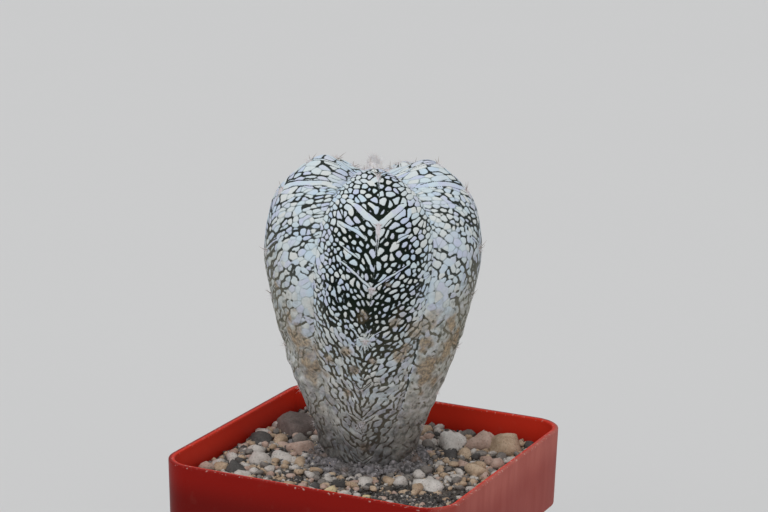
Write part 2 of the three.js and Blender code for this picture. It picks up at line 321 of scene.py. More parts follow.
def bandHalf(z):
    return bandFootHalf + (pot["rimHalf"] - bandFootHalf) * (z - bandFoot) / pot["bandHeight"]


# A square ring with round corners: four quarter circles, joined by straight sides with a few points each.
def squareRing(half, corner, z):
    turns = np.linspace(0, np.pi / 2, pot["cornerSteps"] + 1)
    straight = half - corner
    arc = np.stack([straight + corner * np.cos(turns), straight + corner * np.sin(turns)], -1)
    share = np.linspace(0, 1, pot["sideSteps"] + 1)[1:-1, None]
    side = arc[-1] + share * (np.array([-straight, half]) - arc[-1])
    quarter = np.vstack([arc, side])
    rings = [quarter @ np.array([[c, s], [-s, c]]) for c, s in ((1, 0), (0, 1), (-1, 0), (0, -1))]
    flat = np.vstack(rings)
    return np.column_stack([flat, np.full(len(flat), z)])


# The profile's points (half width, height, how far inside the outer face it lies), where each corner
# between the two ends becomes a quadratic curve from one side to the other, begun at the edge radius or at
# 0.45 of the side.
def roundedProfile(points):
    points = np.array(points, float)
    t = np.linspace(0, 1, pot["edgeSteps"])[:, None]
    result = [points[0]]
    for before, here, after in zip(points, points[1:], points[2:]):
        sides = before - here, after - here
        cut = [side * min(pot["edgeRadius"] / np.linalg.norm(side[:2]), 0.45) for side in sides]
        result.extend(here + cut[0] * (1 - t) ** 2 + cut[1] * t ** 2)
    return np.array([*result, points[-1]])


# The pot's wall: its profile, up the outside, over the rim and down the inside, round a square ring.
def addPot(material):
    height, foot, wall = pot["height"], pot["footHeight"], pot["wall"]
    ledge = bandFoot + wall
    profile = roundedProfile([
        (pot["footInner"] - pot["footSlope"], foot, 0),
        (pot["footInner"], 0, 0),
        (pot["footOuter"], 0, 0),
        (bodyHalf(foot), foot, 0),
        (bodyTopHalf, bandFoot, 0),
        (bandFootHalf, bandFoot, 0),
        (pot["rimHalf"], height, 0),
        (pot["rimHalf"] - wall, height, wall),
        (bandHalf(ledge) - wall, ledge, wall),
        (bodyHalf(ledge) - wall, ledge, wall),
        (bodyHalf(floorTop) - wall, floorTop, wall),
        (bodyHalf(floorTop) - wall - pot["floorMargin"], floorTop, wall + 1),
    ])
    rings = np.array([squareRing(half, max(cornerAt(z) - inset, 1), z) for half, z, inset in profile])
    points, faces = skinOver(rings, (0, 0, foot), (0, 0, floorTop))
    x, y, z = points.T
    within = np.append(np.repeat(profile[:, 2] > 0.6 * wall, rings.shape[1]), (False, True))
    # a pale film of dust and painted reflection on the outer right face, more of it to the back
    film = smooth(*pot["filmAndReflectionAcross"], x) * smooth(*pot["filmAndReflectionUp"], z)
    film = film * (0.55 + 0.45 * smooth(*pot["filmAndReflectionBack"], y)) * (1 - within)
    # painted shade on the left inner wall
    dim = within * smooth(*pot["shadeAcross"], x)
    attributes = {"film": film, "within": within, "dim": dim}
    piece = addPiece("potShell", points, faces, material, "pot", attributes, pot["sharpAngle"])
    cutDrains(piece)


# Four round drain holes through the floor, cut with plain cylinders that are then removed.
def cutDrains(piece):
    turns = np.linspace(0, 2 * np.pi, pot["drainSteps"], endpoint=False)
    low, high = -2.0, floorTop + 2.0          # clear of the floor's two faces
    for k, (sx, sy) in enumerate(((1, 1), (-1, 1), (-1, -1), (1, -1))):
        middle = (sx * pot["drainPlace"], sy * pot["drainPlace"])
        x = middle[0] + pot["drainRadius"] * np.cos(turns)
        y = middle[1] + pot["drainRadius"] * np.sin(turns)
        rings = np.array([np.column_stack([x, y, np.full_like(x, z)]) for z in (low, high)])
        points, faces = skinOver(rings, (*middle, low), (*middle, high))
        cutter = addPiece(f"drainCutter{k}", points, faces, piece.data.materials[0], None)
        cut = piece.modifiers.new("drain", "BOOLEAN")
        cut.object = cutter
        cut.solver = "EXACT"
        bpy.context.view_layer.objects.active = piece
        bpy.ops.object.modifier_apply(modifier=cut.name)
        bpy.data.objects.remove(cutter)


# Clouded red plastic with painted light inside and painted shade low down, with dust, a streaky film that is
# part dust and part painted reflection, and specks on the rim.
def paintPot():
    p = Paint("potPlastic")
    cloud = p.noise(14, detail=3)
    grain = p.noise(0.35, detail=2)
    dust = p.ramp(p.noise(3.0, detail=5, rough=0.65), 0.56, 0.78)
    streaks = p.noise(2.2, detail=3, place=p.node("Mapping", {}, {"Vector": p.place, "Scale": (1, 1, 0.25)}))
    height = p.height()
    high = p.ramp(height, 48.5, 54.5)
    # painted reflection with dust: the film is streaky and stronger near the rim
    film = p.own("film") * (0.85 + 0.3 * p.ramp(streaks, 0.3, 0.7)) * (0.52 + 0.48 * high)
    colour = p.mix(cloud, *potColours["outside"])
    # painted light: the inner walls are brighter than the outside, and brighter still towards the rim
    colour = p.mix(p.own("within"), colour, p.mix(high, *potColours["inside"]))
    # painted shade: the outside darkens away from the rim, except where the pale film lies
    low = (1 - high) * (1 - p.own("within")) * (1 - p.own("film"))
    colour = p.mix(low, colour, potColours["outsideShadedLow"])
    # painted shade low on the left inner wall
    colour = p.mix((1 - high) * p.own("dim") * 0.45, colour, potColours["insideShade"])
    colour = p.mix(dust * 0.05, colour, potColours["dust"])
    colour = p.mix(film * 0.28, colour, potColours["film"])
    specks = p.ramp(height, 55.5, 55.75) * p.ramp(p.noise(0.45, detail=1), 0.62, 0.74)
    colour = p.mix(specks * 0.5, colour, potColours["specks"])
    roughness = 0.36 + 0.10 * cloud + 0.16 * dust + 0.1 * film
    bump = grain * 0.35 + p.noise(5, detail=1) * 0.65
    return p.finish(colour, roughness, bump, 0.05, specular=0.10)


addPot(paintPot())
say("pot")

# The plant

plant = {
    "x": -1.5, "y": 3.9, "ground": 51.5, "ribs": 5,
    "facing": -64.2, "twist": (-8, 4), "twistUp": (5, 62),      # degrees, and between which heights it twists
    # radius and height above the ground, along the crest and along the groove
    "crest": [(8.6, 0), (9.9, 4.5), (12, 10), (14.6, 16.4), (17.5, 25), (20, 34.5),
              (21.3, 42.5), (19.9, 51.7), (16.2, 57.2), (10.7, 60.5), (5.6, 58.7), (0, 56.9)],
    "groove": [(8.1, 0), (9.2, 4.5), (11.1, 10), (13.3, 16.4), (16, 25), (17.8, 34.5),
               (18.8, 42.5), (17.3, 50.5), (13.4, 55), (8.4, 57.2), (4.2, 57.2), (0, 56.9)],
    "crestSharpness": 0.35, "crestRadius": 0.14,
    # how much lower the crown is: all over, behind, on the right, and in front and behind alike; between
    # which heights that sets in, and the radius from which it is whole
    "crownDrop": 1.28, "crownLean": 1.5, "crownTilt": 0.45, "crownSag": 1,
    "crownUp": (44, 60), "crownRadius": 8,
    "rootRadius": 5, "rootEnd": 39.3, "rootRows": 7, "axisDrop": 1.5, "apexGap": 0.35, "sharpAngle": 75,
}
stemRadius = plant["crest"][0][0]
leftRib = 4                   # the front rib is 0 and the right one 1; 2 and 3 are behind
# Rows and columns of each rib's grid: finest in front, coarsest behind.
ribGrids = [(540, 172), (440, 140), (390, 124), (390, 124), (440, 140)]


# The smooth curve through points spaced evenly in v: each stretch is a cubic that leaves a point along the
# line between its neighbours.
def splineThrough(points, v):
    points = np.array(points, float)
    n = len(points) - 1
    padded = np.vstack([2 * points[0] - points[1], points, 2 * points[-1] - points[-2]])
    x = np.clip(v, 0, 1) * n
    i = np.minimum(x.astype(int), n - 1)
    f = (x - i)[..., None]
    a, b, c, d = padded[i], padded[i + 1], padded[i + 2], padded[i + 3]
    square, cube = 2 * a - 5 * b + 4 * c - d, 3 * b - a - 3 * c + d
    return 0.5 * (2 * b + (c - a) * f + square * f ** 2 + cube * f ** 3)


# The plant's surface: u runs from -1 to 1 across a rib, v from 0 at the ground to 1 at the apex. A point
# lies between the groove's profile and the crest's, more towards the crest the nearer u is to 0, and turns
# round the axis.
def plantSurface(rib, u, v):
    e, sharp = plant["crestRadius"], plant["crestSharpness"]
    t = np.abs(u)
    ridge = (np.hypot(t, e) - e) / (math.hypot(1, e) - e)
    share = (1 - (sharp * ridge + (1 - sharp) * t * t))[..., None]
    profile = splineThrough(plant["groove"], v) * (1 - share) + splineThrough(plant["crest"], v) * share
    radius, height = profile[..., 0], profile[..., 1]
    ribAngle = 360 / plant["ribs"]
    fromFront = np.radians(ribAngle * rib + ribAngle / 2 * u)
    lean = plant["crownTilt"] * np.sin(fromFront) - plant["crownLean"] * np.cos(fromFront)
    drop = plant["crownDrop"] + lean + plant["crownSag"] * np.cos(2 * fromFront)
    height = height - drop * smooth(*plant["crownUp"], height) * np.clip(radius / plant["crownRadius"], 0, 1)
    low, high = plant["twist"]
    twist = low + (high - low) * smooth(*plant["twistUp"], height)
    angle = np.radians(plant["facing"] + twist) + fromFront
    return np.stack([plant["x"] + radius * np.cos(angle), plant["y"] + radius * np.sin(angle),
                     plant["ground"] + height], -1)


# The middle of the crown, where all ribs end.
apex = plantSurface(0, np.zeros(1), np.ones(1))[0]

# The flecks

flecks = {
    "seed": 8, "ribsApart": 20.0,            # how far apart the ribs lie in the noise
    "wanderAcross": 0.35, "wanderUp": 0.40,
    "rounding": 0.085,                       # how far a fleck's corners are rounded
    "rowsFrom": -12, "rowsTo": 92, "rowSteps": 2000, "cellsEachSide": 48, "sizeSpread": 0.10, "stacked": 0.04,
    "strokeWidth": 1.0, "strokeReach": 0.95, "strokeTilt": 1.3, "strokeTable": 128,
    "highest": 0.45, "widestSeam": 0.30, "thinnerInGroove": 0.055, "leftGain": 0.014,
    "relief": 0.09,
}

# The sizes of the flecks in millimetres, at lengths along the crest from the ground. A seam's half width
# varies from one pair of flecks to the next, with bold the share of broad ones, and is less by cross where
# it runs across the rows. Stretch is how far a fleck takes the shape of its lattice cell, rounder how much
# less it does so on the right half, wider how much larger the cells are there, and bend the width over
# which a row's rise levels off. All seams are wider by boldSeam at the crest, and less so out to about
# boldReach.
frontWeave = {
    "at":       [0, 12, 25, 32, 40, 47, 55, 62, 70, 78],
    "up":       [1.80, 1.60, 1.45, 1.60, 1.80, 2.00, 2.10, 1.60, 1.50, 1.2],
    "across":   [1.30, 1.00, 0.84, 0.82, 0.90, 1.15, 1.25, 1.12, 1.15, 0.9],
    "slope":    [1.7, 1.8, 1.8, 1.8, 1.7, 1.5, 1.2, 0.9, 0.7, 0.4],
    "stray":    [0.48, 0.48, 0.44, 0.37, 0.33, 0.31, 0.31, 0.31, 0.31, 0.31],
    "joined":   [0.35, 0.30, 0.20, 0.10, 0.10, 0.18, 0.18, 0.14, 0.2, 0.3],
    "seam":     [0.085, 0.085, 0.09, 0.10, 0.112, 0.114, 0.108, 0.112, 0.095, 0.09],
    "vary":     [0.07, 0.07, 0.06, 0.04, 0.03, 0.03, 0.03, 0.03, 0.03, 0.03],
    "bold":     [0.50, 0.58, 0.60, 0.6, 0.6, 0.6, 0.6, 0.6, 0.5, 0.5],
    "cross":    [0.02, 0.02, 0.01, 0, 0, 0, 0, 0, 0, 0],
    "boldSeam": [0, 0, 0.025, 0.06, 0.08, 0.10, 0.10, 0.07, 0, 0],
    "boldReach": [6, 6, 7, 8, 7.5, 6.5, 6, 5, 5, 5],
    "strokes":  [0.16, 0.16, 0.12, 0.06, 0.04, 0.04, 0.04, 0.04, 0.04, 0.04],
    "stretch": 1.0, "rounder": 0.75, "wider": 0.16, "bend": 20,
}
sideWeave = {
    "at":       [0, 12, 25, 32, 40, 47, 55, 62, 70, 78],
    "up":       [1.90, 1.80, 1.75, 1.65, 1.55, 1.42, 1.38, 1.70, 2.8, 2.6],
    "across":   [1.60, 1.50, 1.30, 1.15, 1.08, 1.12, 1.45, 1.75, 2.4, 2.0],
    "slope":    [1.3, 1.3, 1.3, 1.4, 1.5, 1.4, 1.0, 0.75, 0.55, 0.4],
    "stray":    [0.50, 0.50, 0.50, 0.48, 0.46, 0.45, 0.44, 0.44, 0.44, 0.44],
    "joined":   [0.15, 0.12, 0.10, 0.10, 0.12, 0.14, 0.16, 0.20, 0.2, 0.3],
    "seam":     [0.045, 0.045, 0.055, 0.075, 0.085, 0.074, 0.057, 0.072, 0.095, 0.10],
    "vary":     [0.11, 0.11, 0.11, 0.11, 0.10, 0.09, 0.08, 0.075, 0.075, 0.08],
    "bold":     [0.30, 0.30, 0.36, 0.54, 0.62, 0.53, 0.34, 0.46, 0.54, 0.55],
    "cross":    [0.01, 0.01, 0.02, 0.03, 0.04, 0.04, 0.03, 0.01, 0, 0],
    "boldSeam": [0, 0, 0, 0, 0.01, 0.02, 0.03, 0.03, 0.01, 0],
    "boldReach": [8, 8, 8, 8, 8, 8, 8, 8, 6, 5],
    "strokes":  [0.12, 0.12, 0.11, 0.08, 0.05, 0.04, 0.03, 0.03, 0.04, 0.04],
    "stretch": 0.9, "rounder": 0, "wider": 0, "bend": 20,
}


def weaveOf(rib):
    return sideWeave if rib else frontWeave


# The length along a rib's crest from the ground, at even steps of v.
def alongCrest(rib):
    v = np.linspace(0, 1, 3001)
    crest = plantSurface(rib, 0 * v, v)
    return v, np.concatenate([[0], np.cumsum(np.linalg.norm(np.diff(crest, axis=0), axis=1))])


# One of a weave's sizes at lengths along the crest, on straight lines between the listed ones.
def sizeAt(weave, name, q):
    return np.interp(q, weave["at"], weave[name])


# How high a chevron row has risen at a distance from the crest: steep at first, then levelling off.
def chevronRise(across, slope, bend):
    return slope * bend * (1 - np.exp(-np.abs(across) / bend))


# The row that passes through a point, as the length along the crest where it starts.
def rowThrough(weave, across, up):
    row = up.copy()
    for _ in range(5):
        row = up - chevronRise(across, sizeAt(weave, "slope", row), weave["bend"])
    return row


# The lean of the rows at each point, as its cosine and sine.
def rowLean(weave, across, row):
    lean = np.arctan(sizeAt(weave, "slope", row) * np.exp(-np.abs(across) / weave["bend"])) * np.sign(across)
    return np.cos(lean), np.sin(lean)


# Wavy strokes along the rows, about -1 to 1: the sum of many short packets of waves of random phases.
def strokeWaves(across, up, cos, sin, rng):
    width, reach, table = (flecks[key] for key in ("strokeWidth", "strokeReach", "strokeTable"))
    strayX, strayY, size, phase, turn = rng.uniform(0, 1, (5, table, table))
    x, y = np.floor(across).astype(int), np.floor(up).astype(int)
    total = np.zeros(across.shape)
    for dj in range(-2, 3):
        for di in range(-2, 3):
            i, j = (x + di) % table, (y + dj) % table
            dx, dy = across - x - di - strayX[j, i], up - y - dj - strayY[j, i]
            along, square = dx * cos + dy * sin, dy * cos - dx * sin
            tilt = flecks["strokeTilt"] * (turn[j, i] - 0.5)
            along, square = along + tilt * square, square - tilt * along
            packet = np.exp(-(along / reach) ** 2 - (square / (0.65 * width)) ** 2)
            total += (size[j, i] + 0.3) * packet * np.cos(2 * np.pi * (square / width + phase[j, i]))
    return total / (2 * total.std())


# What each cell of the lattice gets at random: how far its point strays, a little more or less size, a tone
# and a group. Runs of cells in a row share a group, from the crest outwards, and now and then so does a
# cell with the one below it.
def fleckLattice(weave, rng):
    steps = np.linspace(flecks["rowsFrom"], flecks["rowsTo"], flecks["rowSteps"])
    number = np.concatenate([[0], np.cumsum(np.diff(steps) / sizeAt(weave, "up", steps[:-1]))])
    rows, half = int(number[-1]) + 4, flecks["cellsEachSide"]
    shape = (rows, 2 * half)
    start = np.interp(np.arange(rows), number, steps)
    stray = rng.uniform(-1, 1, (2, *shape)) * sizeAt(weave, "stray", start)[:, None]
    spread = flecks["sizeSpread"]
    weight = rng.uniform(-spread, spread, shape) * sizeAt(weave, "up", start)[:, None]
    tone, joins, stacks = rng.uniform(0, 1, (3, *shape))
    joins = joins < sizeAt(weave, "joined", start)[:, None]
    group = np.arange(rows * 2 * half).reshape(shape)
    for i in range(half + 1, 2 * half):
        group[:, i] = np.where(joins[:, i], group[:, i - 1], group[:, i])
    for i in range(half - 2, -1, -1):
        group[:, i] = np.where(joins[:, i], group[:, i + 1], group[:, i])
    for j in range(1, rows):
        group[j] = np.where(stacks[j] < flecks["stacked"], group[j - 1], group[j])
    return steps, number, stray, weight, tone, group


# The distance in millimetres from each point to the nearest edge of its fleck. Flecks are cells round
# points that stray from a lattice whose rows rise from the crest, measured along the row and square to it
# so that they take the lattice's shape. The distances to all the neighbours are blended (minus the log of
# the sum of their exponentials), which rounds the corners; a narrow seam's distance counts as longer, and
# the line is the distance without that. Cells of one group have no edge between them.
def fleckDistance(weave, across, up, rng):
    steps, number, (strayA, strayB), weight, tone, group = fleckLattice(weave, rng)
    row = rowThrough(weave, across, up)
    cos, sin = rowLean(weave, across, row)
    exponent = weave["stretch"] - weave["rounder"] * smooth(-1, 3, across)
    stretch = (sizeAt(weave, "across", row) / (sizeAt(weave, "up", row) * cos ** 2)) ** exponent
    half = flecks["cellsEachSide"]
    cellA = np.floor(across / sizeAt(weave, "across", row)).astype(int)
    cellB = np.floor(np.interp(row, steps, number)).astype(int)

    def candidates():
        for dj in range(-2, 3):
            for di in range(-2, 3):
                i = np.clip(cellA + di + half, 0, 2 * half - 1)
                j = np.clip(cellB + dj, 0, len(group) - 1)
                q = np.interp(j + 0.5 + strayB[j, i], number, steps)
                x = (i - half + 0.5 + strayA[j, i]) * sizeAt(weave, "across", q)
                y = q + chevronRise(x, sizeAt(weave, "slope", q), weave["bend"])
                along = (across - x) * cos + (up - y) * sin
                square = (up - y) * cos - (across - x) * sin
                power = along ** 2 / stretch + square ** 2 * stretch - weight[j, i]
                yield along, square, power, group[j, i], tone[j, i]

    best = np.full(across.shape, 1e9)
    bestAlong, bestSquare, bestTone = np.zeros((3, *across.shape))
    bestGroup = np.zeros(across.shape, int)
    for along, square, power, g, shade in candidates():
        nearer = power < best
        best = np.where(nearer, power, best)
        bestAlong, bestSquare = np.where(nearer, along, bestAlong), np.where(nearer, square, bestSquare)
        bestGroup, bestTone = np.where(nearer, g, bestGroup), np.where(nearer, shade, bestTone)
    near, nearest = np.zeros((2, *across.shape))
    vary, cross, bold = (sizeAt(weave, name, row) for name in ("vary", "cross", "bold"))
    for along, square, power, g, _ in candidates():
        x, y = np.abs(along - bestAlong), np.abs(square - bestSquare)
        apart = 2 * np.hypot(x / stretch, y * stretch) + 1e-6
        pair = (bestGroup + 1) * (g + 1) % 65521 / 65521       # the same from both sides of the seam
        spare = vary * (2 * smooth(-0.15, 0.15, pair - bold) - 1) + cross * (x - y) / (x + y + 1e-6)
        far = (power - best) / apart
        near += np.where(g != bestGroup, np.exp(-(far + spare) / flecks["rounding"]), 0)
        nearest += np.where(g != bestGroup, np.exp(-far / flecks["rounding"]), 0)
    edge, line = (-flecks["rounding"] * np.log(total + 1e-9) for total in (near, nearest))
    waves = strokeWaves(across, up, cos, sin, rng)
    return edge, line, bestTone, waves * sizeAt(weave, "strokes", row)


# A grid blurred along one axis and then the other: half of each point and a quarter of each neighbour.
def blurred(grid):
    for axis in (0, 1):
        n = grid.shape[axis]
        padded = np.concatenate([grid.take([0], axis), grid, grid.take([-1], axis)], axis)
        before, after = padded.take(range(n), axis), padded.take(range(2, n + 2), axis)
        grid = 0.25 * before + 0.5 * grid + 0.25 * after
    return grid


# The dark line at the bottom of the grooves: how near u comes to 1, where it begins and ends along the
# crest, how faint it is elsewhere than right of the front rib, and how deep.
crease = {"beside": (0.955, 0.985), "from": (12, 18), "to": (32, 38), "faint": 0.12, "depth": 0.3}


def creaseField(rib, u, up):
    line = smooth(*crease["beside"], np.abs(u)) * smooth(*crease["from"], up)
    line = line * (1 - smooth(*crease["to"], up))
    onRight = (rib == 0) & (u > 0) | (rib == 1) & (u < 0)
    broken = 0.5 + 0.5 * lumps(np.stack([0 * up, up, 0 * up], -1), 4.0, 8)
    return line * np.where(onRight, 1.0, crease["faint"]) * smooth(0.1, 0.5, broken)


# The flecks as a field in millimetres inside their edge: the distance to it, less the half width of the dark
# seam, less the line in the grooves, plus wavy strokes and, low down, raggedness.
def fleckField(rib, across, up, u, spot):
    rng = np.random.default_rng(flecks["seed"] + rib)
    weave = weaveOf(rib)
    wanderedAcross = across + flecks["wanderAcross"] * lumps(spot, 2.6, 1) * smooth(0, 2, np.abs(across))
    wanderedAcross = wanderedAcross * (1 - weave["wider"] * smooth(0, 6, across))
    wanderedUp = up + flecks["wanderUp"] * lumps(spot, 3.2, 2)
    edge, line, tone, waves = fleckDistance(weave, wanderedAcross, wanderedUp, rng)
    seam = sizeAt(weave, "seam", up) * (1 + 0.35 * lumps(spot, 1.9, 3) + 0.25 * lumps(spot, 6.0, 4))
    seam = seam - flecks["thinnerInGroove"] * smooth(0.6, 0.95, np.abs(u))
    bolder = sizeAt(weave, "boldSeam", up) * np.exp(-(across / sizeAt(weave, "boldReach", up)) ** 2)
    seam = seam + bolder * (1 + 0.3 * lumps(spot, 2.5, 9))
    ragged = 0.07 * lumps(spot, 0.9, 7) * (1 - smooth(24, 36, up))
    flat = blurred(np.minimum(edge, flecks["highest"]))
    field = flat - np.clip(seam, 0, flecks["widestSeam"]) + waves + ragged
    return field - crease["depth"] * creaseField(rib, u, up), line, tone


# White bands, strokes and felt

# The areoles up a rib and the white chevron band at each: v on the crest, half thickness, reach across, and
# the width and length of the felt under it.
areolesOnFront = [
    (0.033, 0.26, 2.2, 0.5, 1.5), (0.19, 0.32, 3.0, 0.9, 1.6), (0.295, 0.14, 2.0, 0.4, 1.2),
    (0.40, 0.20, 3.0, 0.7, 1.2), (0.51, 0.27, 7.0, 0.8, 1.8), (0.635, 0.85, 5.6, 0.7, 5.5),
    (0.79, 0.28, 3.5, 0.6, 4.0), (0.872, 0.25, 2.5, 0.6, 3.0),
]
areolesOnSide = [
    (0.05, 0.24, 2.0, 0.5, 1.5), (0.15, 0.24, 2.5, 0.6, 1.5), (0.26, 0.20, 2.5, 0.5, 1.5),
    (0.36, 0.24, 3.0, 0.6, 2.0), (0.46, 0.20, 3.5, 0.6, 2.0), (0.56, 0.26, 4.0, 0.7, 2.5),
    (0.685, 0.80, 8.5, 0.8, 4.0), (0.79, 0.30, 4.5, 0.6, 3.0), (0.88, 0.25, 3.0, 0.6, 2.0),
    (0.94, 0.15, 1.5, 0.7, 1.5),
]
ribShift = [0, 0, -0.03, 0.02, -0.008]       # how much higher up each side rib's areoles are, in v
# The rise of the bands, the dark gap over a band, wider in the middle of a thick one, and under it, the
# dark thread down the felt, how far below the apex felt sets in, and how near a band no thin lines show.
bands = {
    "slope": 1.0, "bend": 10, "gapAbove": 0.20, "gapMiddle": 0.50, "thick": 0.4, "gapBelow": 0.18,
    "threadHalf": 0.07, "threadFrom": 0.45, "threadTo": 1.3, "feltFrom": 3.6, "lineReach": 0.15,
}
# Long white strokes under the broadest band of the front rib: from, to, how far below it, half thickness.
loneStrokesBelow, strokeGap = 0.635, 0.16
loneStrokes = [(-7.9, -2.2, 4.6, 0.45), (-6.6, -3.2, 9.0, 0.22), (3.6, 6.2, 6.2, 0.34)]
# White rays round one areole of the front rib.
burst = {"v": 0.40, "reach": 2.6, "rays": 11, "bend": 6, "depth": 0.10, "white": 0.23, "fading": 0.35}


# The areoles of a rib, on the side ribs moved up by the shift.
def areolesOf(rib):
    if rib == 0:
        return areolesOnFront
    return [(v + ribShift[rib], *rest) for v, *rest in areolesOnSide]


# A white band along a chevron row with a dark gap round it, thinner to its ends as the root of 1 - x to the
# 4th, and under it felt that narrows down the crest, with a dark thread down its lower part.
def withBand(field, felt, line, areole, spot, above, down):
    _, half, reach, feltWidth, feltLength = areole
    across, x = spot[..., 0], np.abs(spot[..., 0])
    width = half * np.sqrt(np.clip(1 - (x / reach) ** 4, 0, 1)) * (1 + 0.3 * lumps(spot, 1.4, 6))
    band = width - np.abs(above)
    reachOut = smooth(1.1 * reach, 0.85 * reach, x)
    middle = bands["gapMiddle"] * np.exp(-(across / 2.0) ** 2) * (half > bands["thick"])
    gap = np.where(above > 0, bands["gapAbove"] + middle, bands["gapBelow"])
    around = np.abs(above) - width - gap
    field = np.where(reachOut > 0.02, np.minimum(field, around + 1.5 * (1 - reachOut)), field)
    field = np.maximum(field, np.where(x < reach, band, -1.0))
    line = np.where((x < reach) & (band > -bands["lineReach"]), 1.0, line)
    threaded = (down > bands["threadFrom"] * feltLength) & (down < bands["threadTo"] * feltLength)
    thread = np.where(threaded, x - bands["threadHalf"], 1.0)
    strip = feltWidth * np.exp(-np.clip(down, 0, 30) / feltLength) * (down > -0.6 * feltWidth) - 0.12 - x
    field = np.where(strip > -0.2, np.minimum(field, thread), field)
    return field, np.maximum(felt, np.minimum(strip, thread)), line


# A lone stroke along a chevron row, thinner to its ends in the same way, with a dark gap round it.
def withStroke(field, line, far, near, half, across, offset):
    share = (across - (far + near) / 2) / ((near - far) / 2)
    width = half * np.sqrt(np.clip(1 - share ** 4, 0, 1)) - 0.4 * (np.abs(share) > 1)
    field = np.where(np.abs(share) < 1.1, np.minimum(field, np.abs(offset) - width - strokeGap), field)
    field = np.maximum(field, width - np.abs(offset))
    return field, np.where(width > np.abs(offset) - bands["lineReach"], 1.0, line)


# White rays round a place, a cosine of the angle bent by noise, that fade outwards.
def withBurst(field, across, rise, spot):
    away = np.hypot(across, rise) / burst["reach"] * (1 + 0.2 * lumps(spot, 1.5, 15))
    waves = np.cos(burst["rays"] * np.arctan2(rise, across) + burst["bend"] * lumps(spot, 1.1, 16))
    rays = burst["depth"] * waves + burst["white"] - burst["fading"] * away
    return np.where(away < 1, np.maximum(rays, field - 0.04), field)


# The white of the skin as a field in millimetres inside its edge: flecks, then bands with their felt, and on
# the front rib the strokes and the burst. It also gives the felt, the flecks' tone and the line.
def whiteField(rib, across, up, u):
    spot = np.stack([across, up, np.full_like(across, flecks["ribsApart"] * rib)], -1)
    field, line, tone = fleckField(rib, across, up, u, spot)
    row = up - chevronRise(across, bands["slope"], bands["bend"])
    v, length = alongCrest(rib)
    felt = np.clip((up - length[-1] + bands["feltFrom"]) * 0.3 + 0.3 * lumps(spot, 1.1, 10), -1, 0.5)
    wave, ripple = 0.32 * lumps(spot, 2.2, 5), 0.10 * lumps(spot, 0.8, 19)
    for areole in areolesOf(rib):
        start = np.interp(areole[0], v, length)
        above = row - start + wave + ripple
        field, felt, line = withBand(field, felt, line, areole, spot, above, start - up)
    if rib == 0:
        field = field - flecks["leftGain"] * np.tanh(across / 2) * (1 - smooth(28, 36, up))
        for far, near, below, half in loneStrokes:
            offset = row - np.interp(loneStrokesBelow, v, length) + below + 0.35 * lumps(spot, 1.8, 17)
            field, line = withStroke(field, line, far, near, half, across, offset)
        field = withBurst(field, across, up - np.interp(burst["v"], v, length), spot)
    return np.maximum(field, felt), felt, tone, line


# Cork and dust

# Where the skin has turned to tan cork: x, y, z, radius.
corkPlaces = [
    (-8.7, -11.7, 78.3, 2.4), (-11.6, -10.8, 79.5, 1.0), (-8.1, -10.5, 74.0, 1.5), (-6.1, -10.6, 73.2, 1.3),
    (-10.9, -12.2, 83.0, 1.4), (-13.9, -12.2, 88.5, 1.1), (13.3, -2.0, 73.8, 2.4), (13.3, 0.1, 70.3, 2.2),
    (15.5, 1.0, 75.5, 2.8), (16.8, 3.5, 78.5, 2.4), (18.6, 4.0, 88.6, 1.2), (16.8, 0.8, 82.0, 1.6),
    (5.8, -14.5, 85.2, 1.2), (10.5, -11.0, 84.0, 1.4), (11.1, -7.6, 78.3, 1.7), (10.2, -8.6, 76.9, 1.4),
    (13.4, -4.0, 78.4, 1.6), (12.3, -1.6, 70.8, 1.8), (11.6, -1.1, 67.8, 1.4), (1.6, -13.7, 77.8, 1.2),
    (6.4, -11.9, 76.1, 1.0), (-2.0, -12.8, 75.5, 1.5), (2.7, -12.3, 74.1, 1.0), (0.8, -10.8, 69.1, 1.2),
    (1.8, -5.7, 56.8, 1.4), (10.2, -13.6, 92.0, 1.1),
]
# Between which heights the dust thins out on the side ribs and in front, how much higher it reaches on the
# side crests, its share in front and on the left rib, and how much higher the soil's stain and painted shade
# reach there.
dusty = {"side": (68, 92), "front": (60, 88), "crestHigher": 12, "frontShare": 0.66, "leftShare": 0.84,
         "leftStainAndShadeHigher": 4.5}
# The haze over the dark skin of the side ribs, how much less of it there is above these heights, and the
# haze beside all grooves.
haze = {"up": (86, 107), "less": 0.65, "beside": 0.8}


# Round spots at the listed places, 1 in the middle, with their edge made ragged by noise.
def corkSpots(points):
    cork = np.zeros(points.shape[:-1])
    ragged = 0.45 * lumps(points, 1.1, 21) + 0.45 * lumps(points, 2.6, 22)
    for x, y, z, radius in corkPlaces:
        away = np.linalg.norm(points - np.array((x, y, z)), axis=-1) / radius
        cork = np.maximum(cork, 1 - smooth(0.45, 1.15, away + ragged))
    return cork


# The spots, and fainter patches of noise in a belt below the middle, away from the crests.
def corkField(points, across):
    z = points[..., 2]
    belt = smooth(60, 70, z) * (1 - smooth(80, 92, z)) * smooth(3, 7, np.abs(across))
    patches = smooth(0.25, 0.6, lumps(points, 5.5, 23) + 0.5 * lumps(points, 1.8, 24)) * belt
    return np.maximum(corkSpots(points), 0.8 * patches)


# How much dust lies in the seams and on the flecks: more low down, and more on the side ribs' crests.
def dustField(rib, points, u):
    t = np.abs(u)
    z = points[..., 2] + 2.5 * lumps(points, 5.0, 26)
    if rib == 0:
        inGroove = smooth(0.6, 1, t)
        front = dusty["frontShare"] * (1 - smooth(*dusty["front"], z))
        return front * (1 - inGroove) + 0.8 * (1 - smooth(*dusty["side"], z)) * inGroove
    side = 1 - smooth(*dusty["side"], z - dusty["crestHigher"] * smooth(0.75, 0.15, t))
    return side * (0.8 + 0.2 * smooth(1, 0.7, t)) * (dusty["leftShare"] if rib == leftRib else 1)


# The ribs

# The hollow under the shoulder of the left rib.
dent = {"place": (-13.2, -8.7, 75.3), "radius": 4.5, "depth": 0.8}


